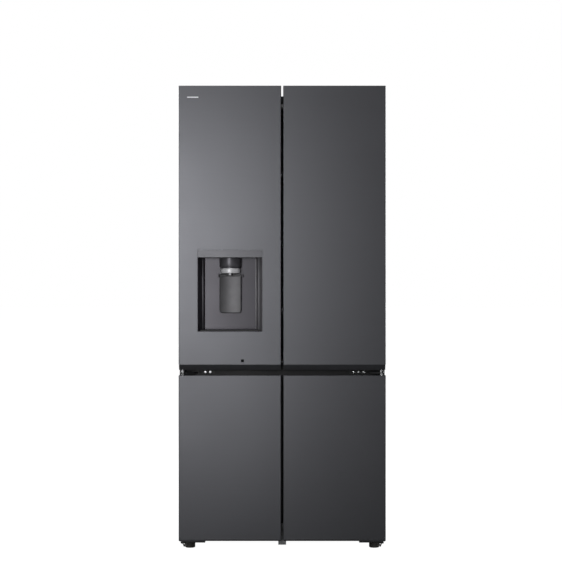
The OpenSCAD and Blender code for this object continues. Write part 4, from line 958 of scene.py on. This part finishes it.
def compressor():
    """Steel can of two drawn shells with a seam flange, on a pressed plate with rubber feet, and
    three bent stub tubes. Its top is a dome: the radius falls as a power of the cosine."""
    low, high = corners("compressor")
    middle = (low + high) / 2
    plate_z = low[2] + 12 * MM
    can, round_foot, flange, shoulder, dome_height = 68, 10, 3.5, 112, 36
    foot_x, foot_y = 78, 45
    base = np.array([middle[0], middle[1], plate_z])
    dome = np.linspace(0, math.pi / 2, 9)
    rows = [(0, 0), (can - round_foot, 0)]
    rows += [(can - round_foot + round_foot * math.sin(a), round_foot - round_foot * math.cos(a))
             for a in dome[1:]]
    rows += [(can, 66), (can + flange, 66.6), (can + flange, 70.4), (can, 71), (can, shoulder)]
    rows += [(can * math.cos(a) ** 0.7 if a < dome[-1] else 0.0,
              shoulder + dome_height * math.sin(a)) for a in dome[1:]]
    plate = upright(low[:2] + 1 * MM, high[:2] - 1 * MM, 12,
                    [(-1.5, -0.2), (0, 0.4), (0, 3.4), (-1, 4)], plate_z)
    foot = [(0, 0), (8.4, 0), (9, 0.8), (9, 4.6), (6.4, 6), (6.4, 8), (9, 9.4), (9, 14.8),
            (8, 16), (0, 16)]
    shells = [revolve(base, "z", rows, 64), plate]
    for sx in (-foot_x, foot_x):
        for sy in (-foot_y, foot_y):
            shells.append(revolve((base[0] + sx * MM, base[1] + sy * MM, low[2]), "z", foot, 24))
    inner, out, bend = 60, 66, 10       # where a stub starts, where it bends, and its bend's radius
    for angle, z, rise in ((0.3, 95, 30), (0.75, 60, 45), (-0.4, 80, 25)):
        ahead = np.array([math.cos(angle), math.sin(angle), 0])
        run = [base + ahead * inner * MM + [0, 0, z * MM]]
        for t in np.linspace(0, math.pi / 2, 8):
            run.append(base + ahead * (out + bend * math.sin(t)) * MM
                       + np.array([0, 0, z + bend - bend * math.cos(t)]) * MM)
        run.append(run[-1] + np.array([0, 0, rise * MM]))
        shells.append(tube(run, 3.2 * MM))
    put("compressor_piece", shells, "compressor")


compressor()


def coil(node, fins, rows):
    """Finned coil: thin plates on one serpentine tube with rounded return bends."""
    low, high = corners(node)
    fin, pipe, bend = 1.2 * MM, 4 * MM, 12 * MM    # fin thickness, tube radius, reach of a bend
    x0, x1 = low[0] + 8 * MM, high[0] - 8 * MM
    shells = []
    for x in np.linspace(x0, x1 - 2 * MM, fins):
        shells.append(bar((x, low[1], low[2]), (x + fin, high[1], high[2]), 0.3, "x"))
    levels = low[2] + (np.arange(rows) + 0.5) * (high[2] - low[2]) / rows
    for side in (0.25, 0.75):
        y = low[1] + (high[1] - low[1]) * side
        path = []
        for k, z in enumerate(levels):
            ends = (x0, x1) if k % 2 == 0 else (x1, x0)
            path += [np.array([e, y, z]) for e in np.linspace(ends[0], ends[1], 4)]
            if k + 1 < rows:
                half = (levels[k + 1] - z) / 2
                way = 1 if k % 2 == 0 else -1
                for a in np.linspace(-math.pi / 2, math.pi / 2, 13)[1:-1]:
                    path.append(np.array([ends[1] + way * bend * math.cos(a), y,
                                          z + half + half * math.sin(a)]))
        shells.append(tube(path, pipe))
    put(node + "_piece", shells, node)


coil("evaporator", 36, 4)
coil("condenser", 28, 3)

# ---------------------------------------------------------------- stage and light


def floor():
    """A round pale floor. It shows white to the camera with a soft shade under the object."""
    sides, reach, drop = 64, 60.0, 0.5 * MM
    points = around(reach, circle(sides), -drop)
    mesh = bpy.data.meshes.new("floor")
    mesh.from_pydata(points.tolist(), [], [list(range(sides))])
    piece = bpy.data.objects.new("floor", mesh)
    SCENE.collection.objects.link(piece)
    material = bpy.data.materials.new("pale_floor")
    material.use_nodes = True
    tree = Tree(material.node_tree)
    material.node_tree.nodes.clear()
    diffuse = tree.add("ShaderNodeBsdfDiffuse", {"Color": (0.55, 0.55, 0.55, 1.0)})
    glow = tree.add("ShaderNodeEmission", {"Color": (1.0, 1.0, 1.0, 1.0), "Strength": 1.0})
    faint = tree.add("ShaderNodeBsdfDiffuse", {"Color": (0.2, 0.2, 0.2, 1.0)})
    shown = tree.add("ShaderNodeAddShader", {0: glow.outputs[0], 1: faint.outputs[0]})
    seen = tree.add("ShaderNodeLightPath").outputs["Is Camera Ray"]
    both = tree.add("ShaderNodeMixShader", {0: seen, 1: diffuse.outputs[0], 2: shown.outputs[0]})
    tree.add("ShaderNodeOutputMaterial", {"Surface": both.outputs[0]})
    mesh.materials.append(material)
    piece.visible_glossy = False


def soft_light(name, place, target, size, energy):
    """A rectangular area light turned to its target."""
    data = bpy.data.lights.new(name, "AREA")
    data.shape = "RECTANGLE"
    data.size, data.size_y = size
    data.energy = energy
    lamp = bpy.data.objects.new(name, data)
    SCENE.collection.objects.link(lamp)
    place, target = np.array(place, float), np.array(target, float)
    lamp.location = place
    lamp.rotation_euler = Vector(target - place).to_track_quat("-Z", "Y").to_euler()
    lamp.visible_camera = False


floor()
world = bpy.data.worlds.new("soft_room")
world.use_nodes = True
SCENE.world = world
room = Tree(world.node_tree)
world.node_tree.nodes.clear()
grey = room.add("ShaderNodeBackground", {"Color": (0.94, 0.97, 1.0, 1.0), "Strength": 0.03})
white = room.add("ShaderNodeBackground", {"Color": (1.0, 1.0, 1.0, 1.0), "Strength": 1.0})
direct = room.add("ShaderNodeLightPath").outputs["Is Camera Ray"]
either = room.add("ShaderNodeMixShader", {0: direct, 1: grey.outputs[0], 2: white.outputs[0]})
room.add("ShaderNodeOutputWorld", {"Surface": either.outputs[0]})

soft_light("key", (-1.15, -3.95, 1.45), (-0.35, -0.37, 1.25), (0.6, 0.6), 14)
soft_light("tall_strip", (-0.55, -3.95, 1.05), (-0.15, -0.37, 1.1), (0.5, 2.1), 13)
soft_light("ceiling", (0.0, -2.2, 4.3), (0.0, -0.1, 1.0), (2.0, 1.0), 45)
soft_light("right_side", (3.2, 1.6, 1.8), (0.4, 0.1, 1.0), (1.6, 2.2), 80)
soft_light("left_side", (-3.2, 1.6, 1.8), (-0.4, 0.1, 1.0), (1.6, 2.2), 80)
soft_light("back_fill", (-2.2, 3.4, 2.4), (0, 0.2, 0.9), (2.4, 2.4), 90)
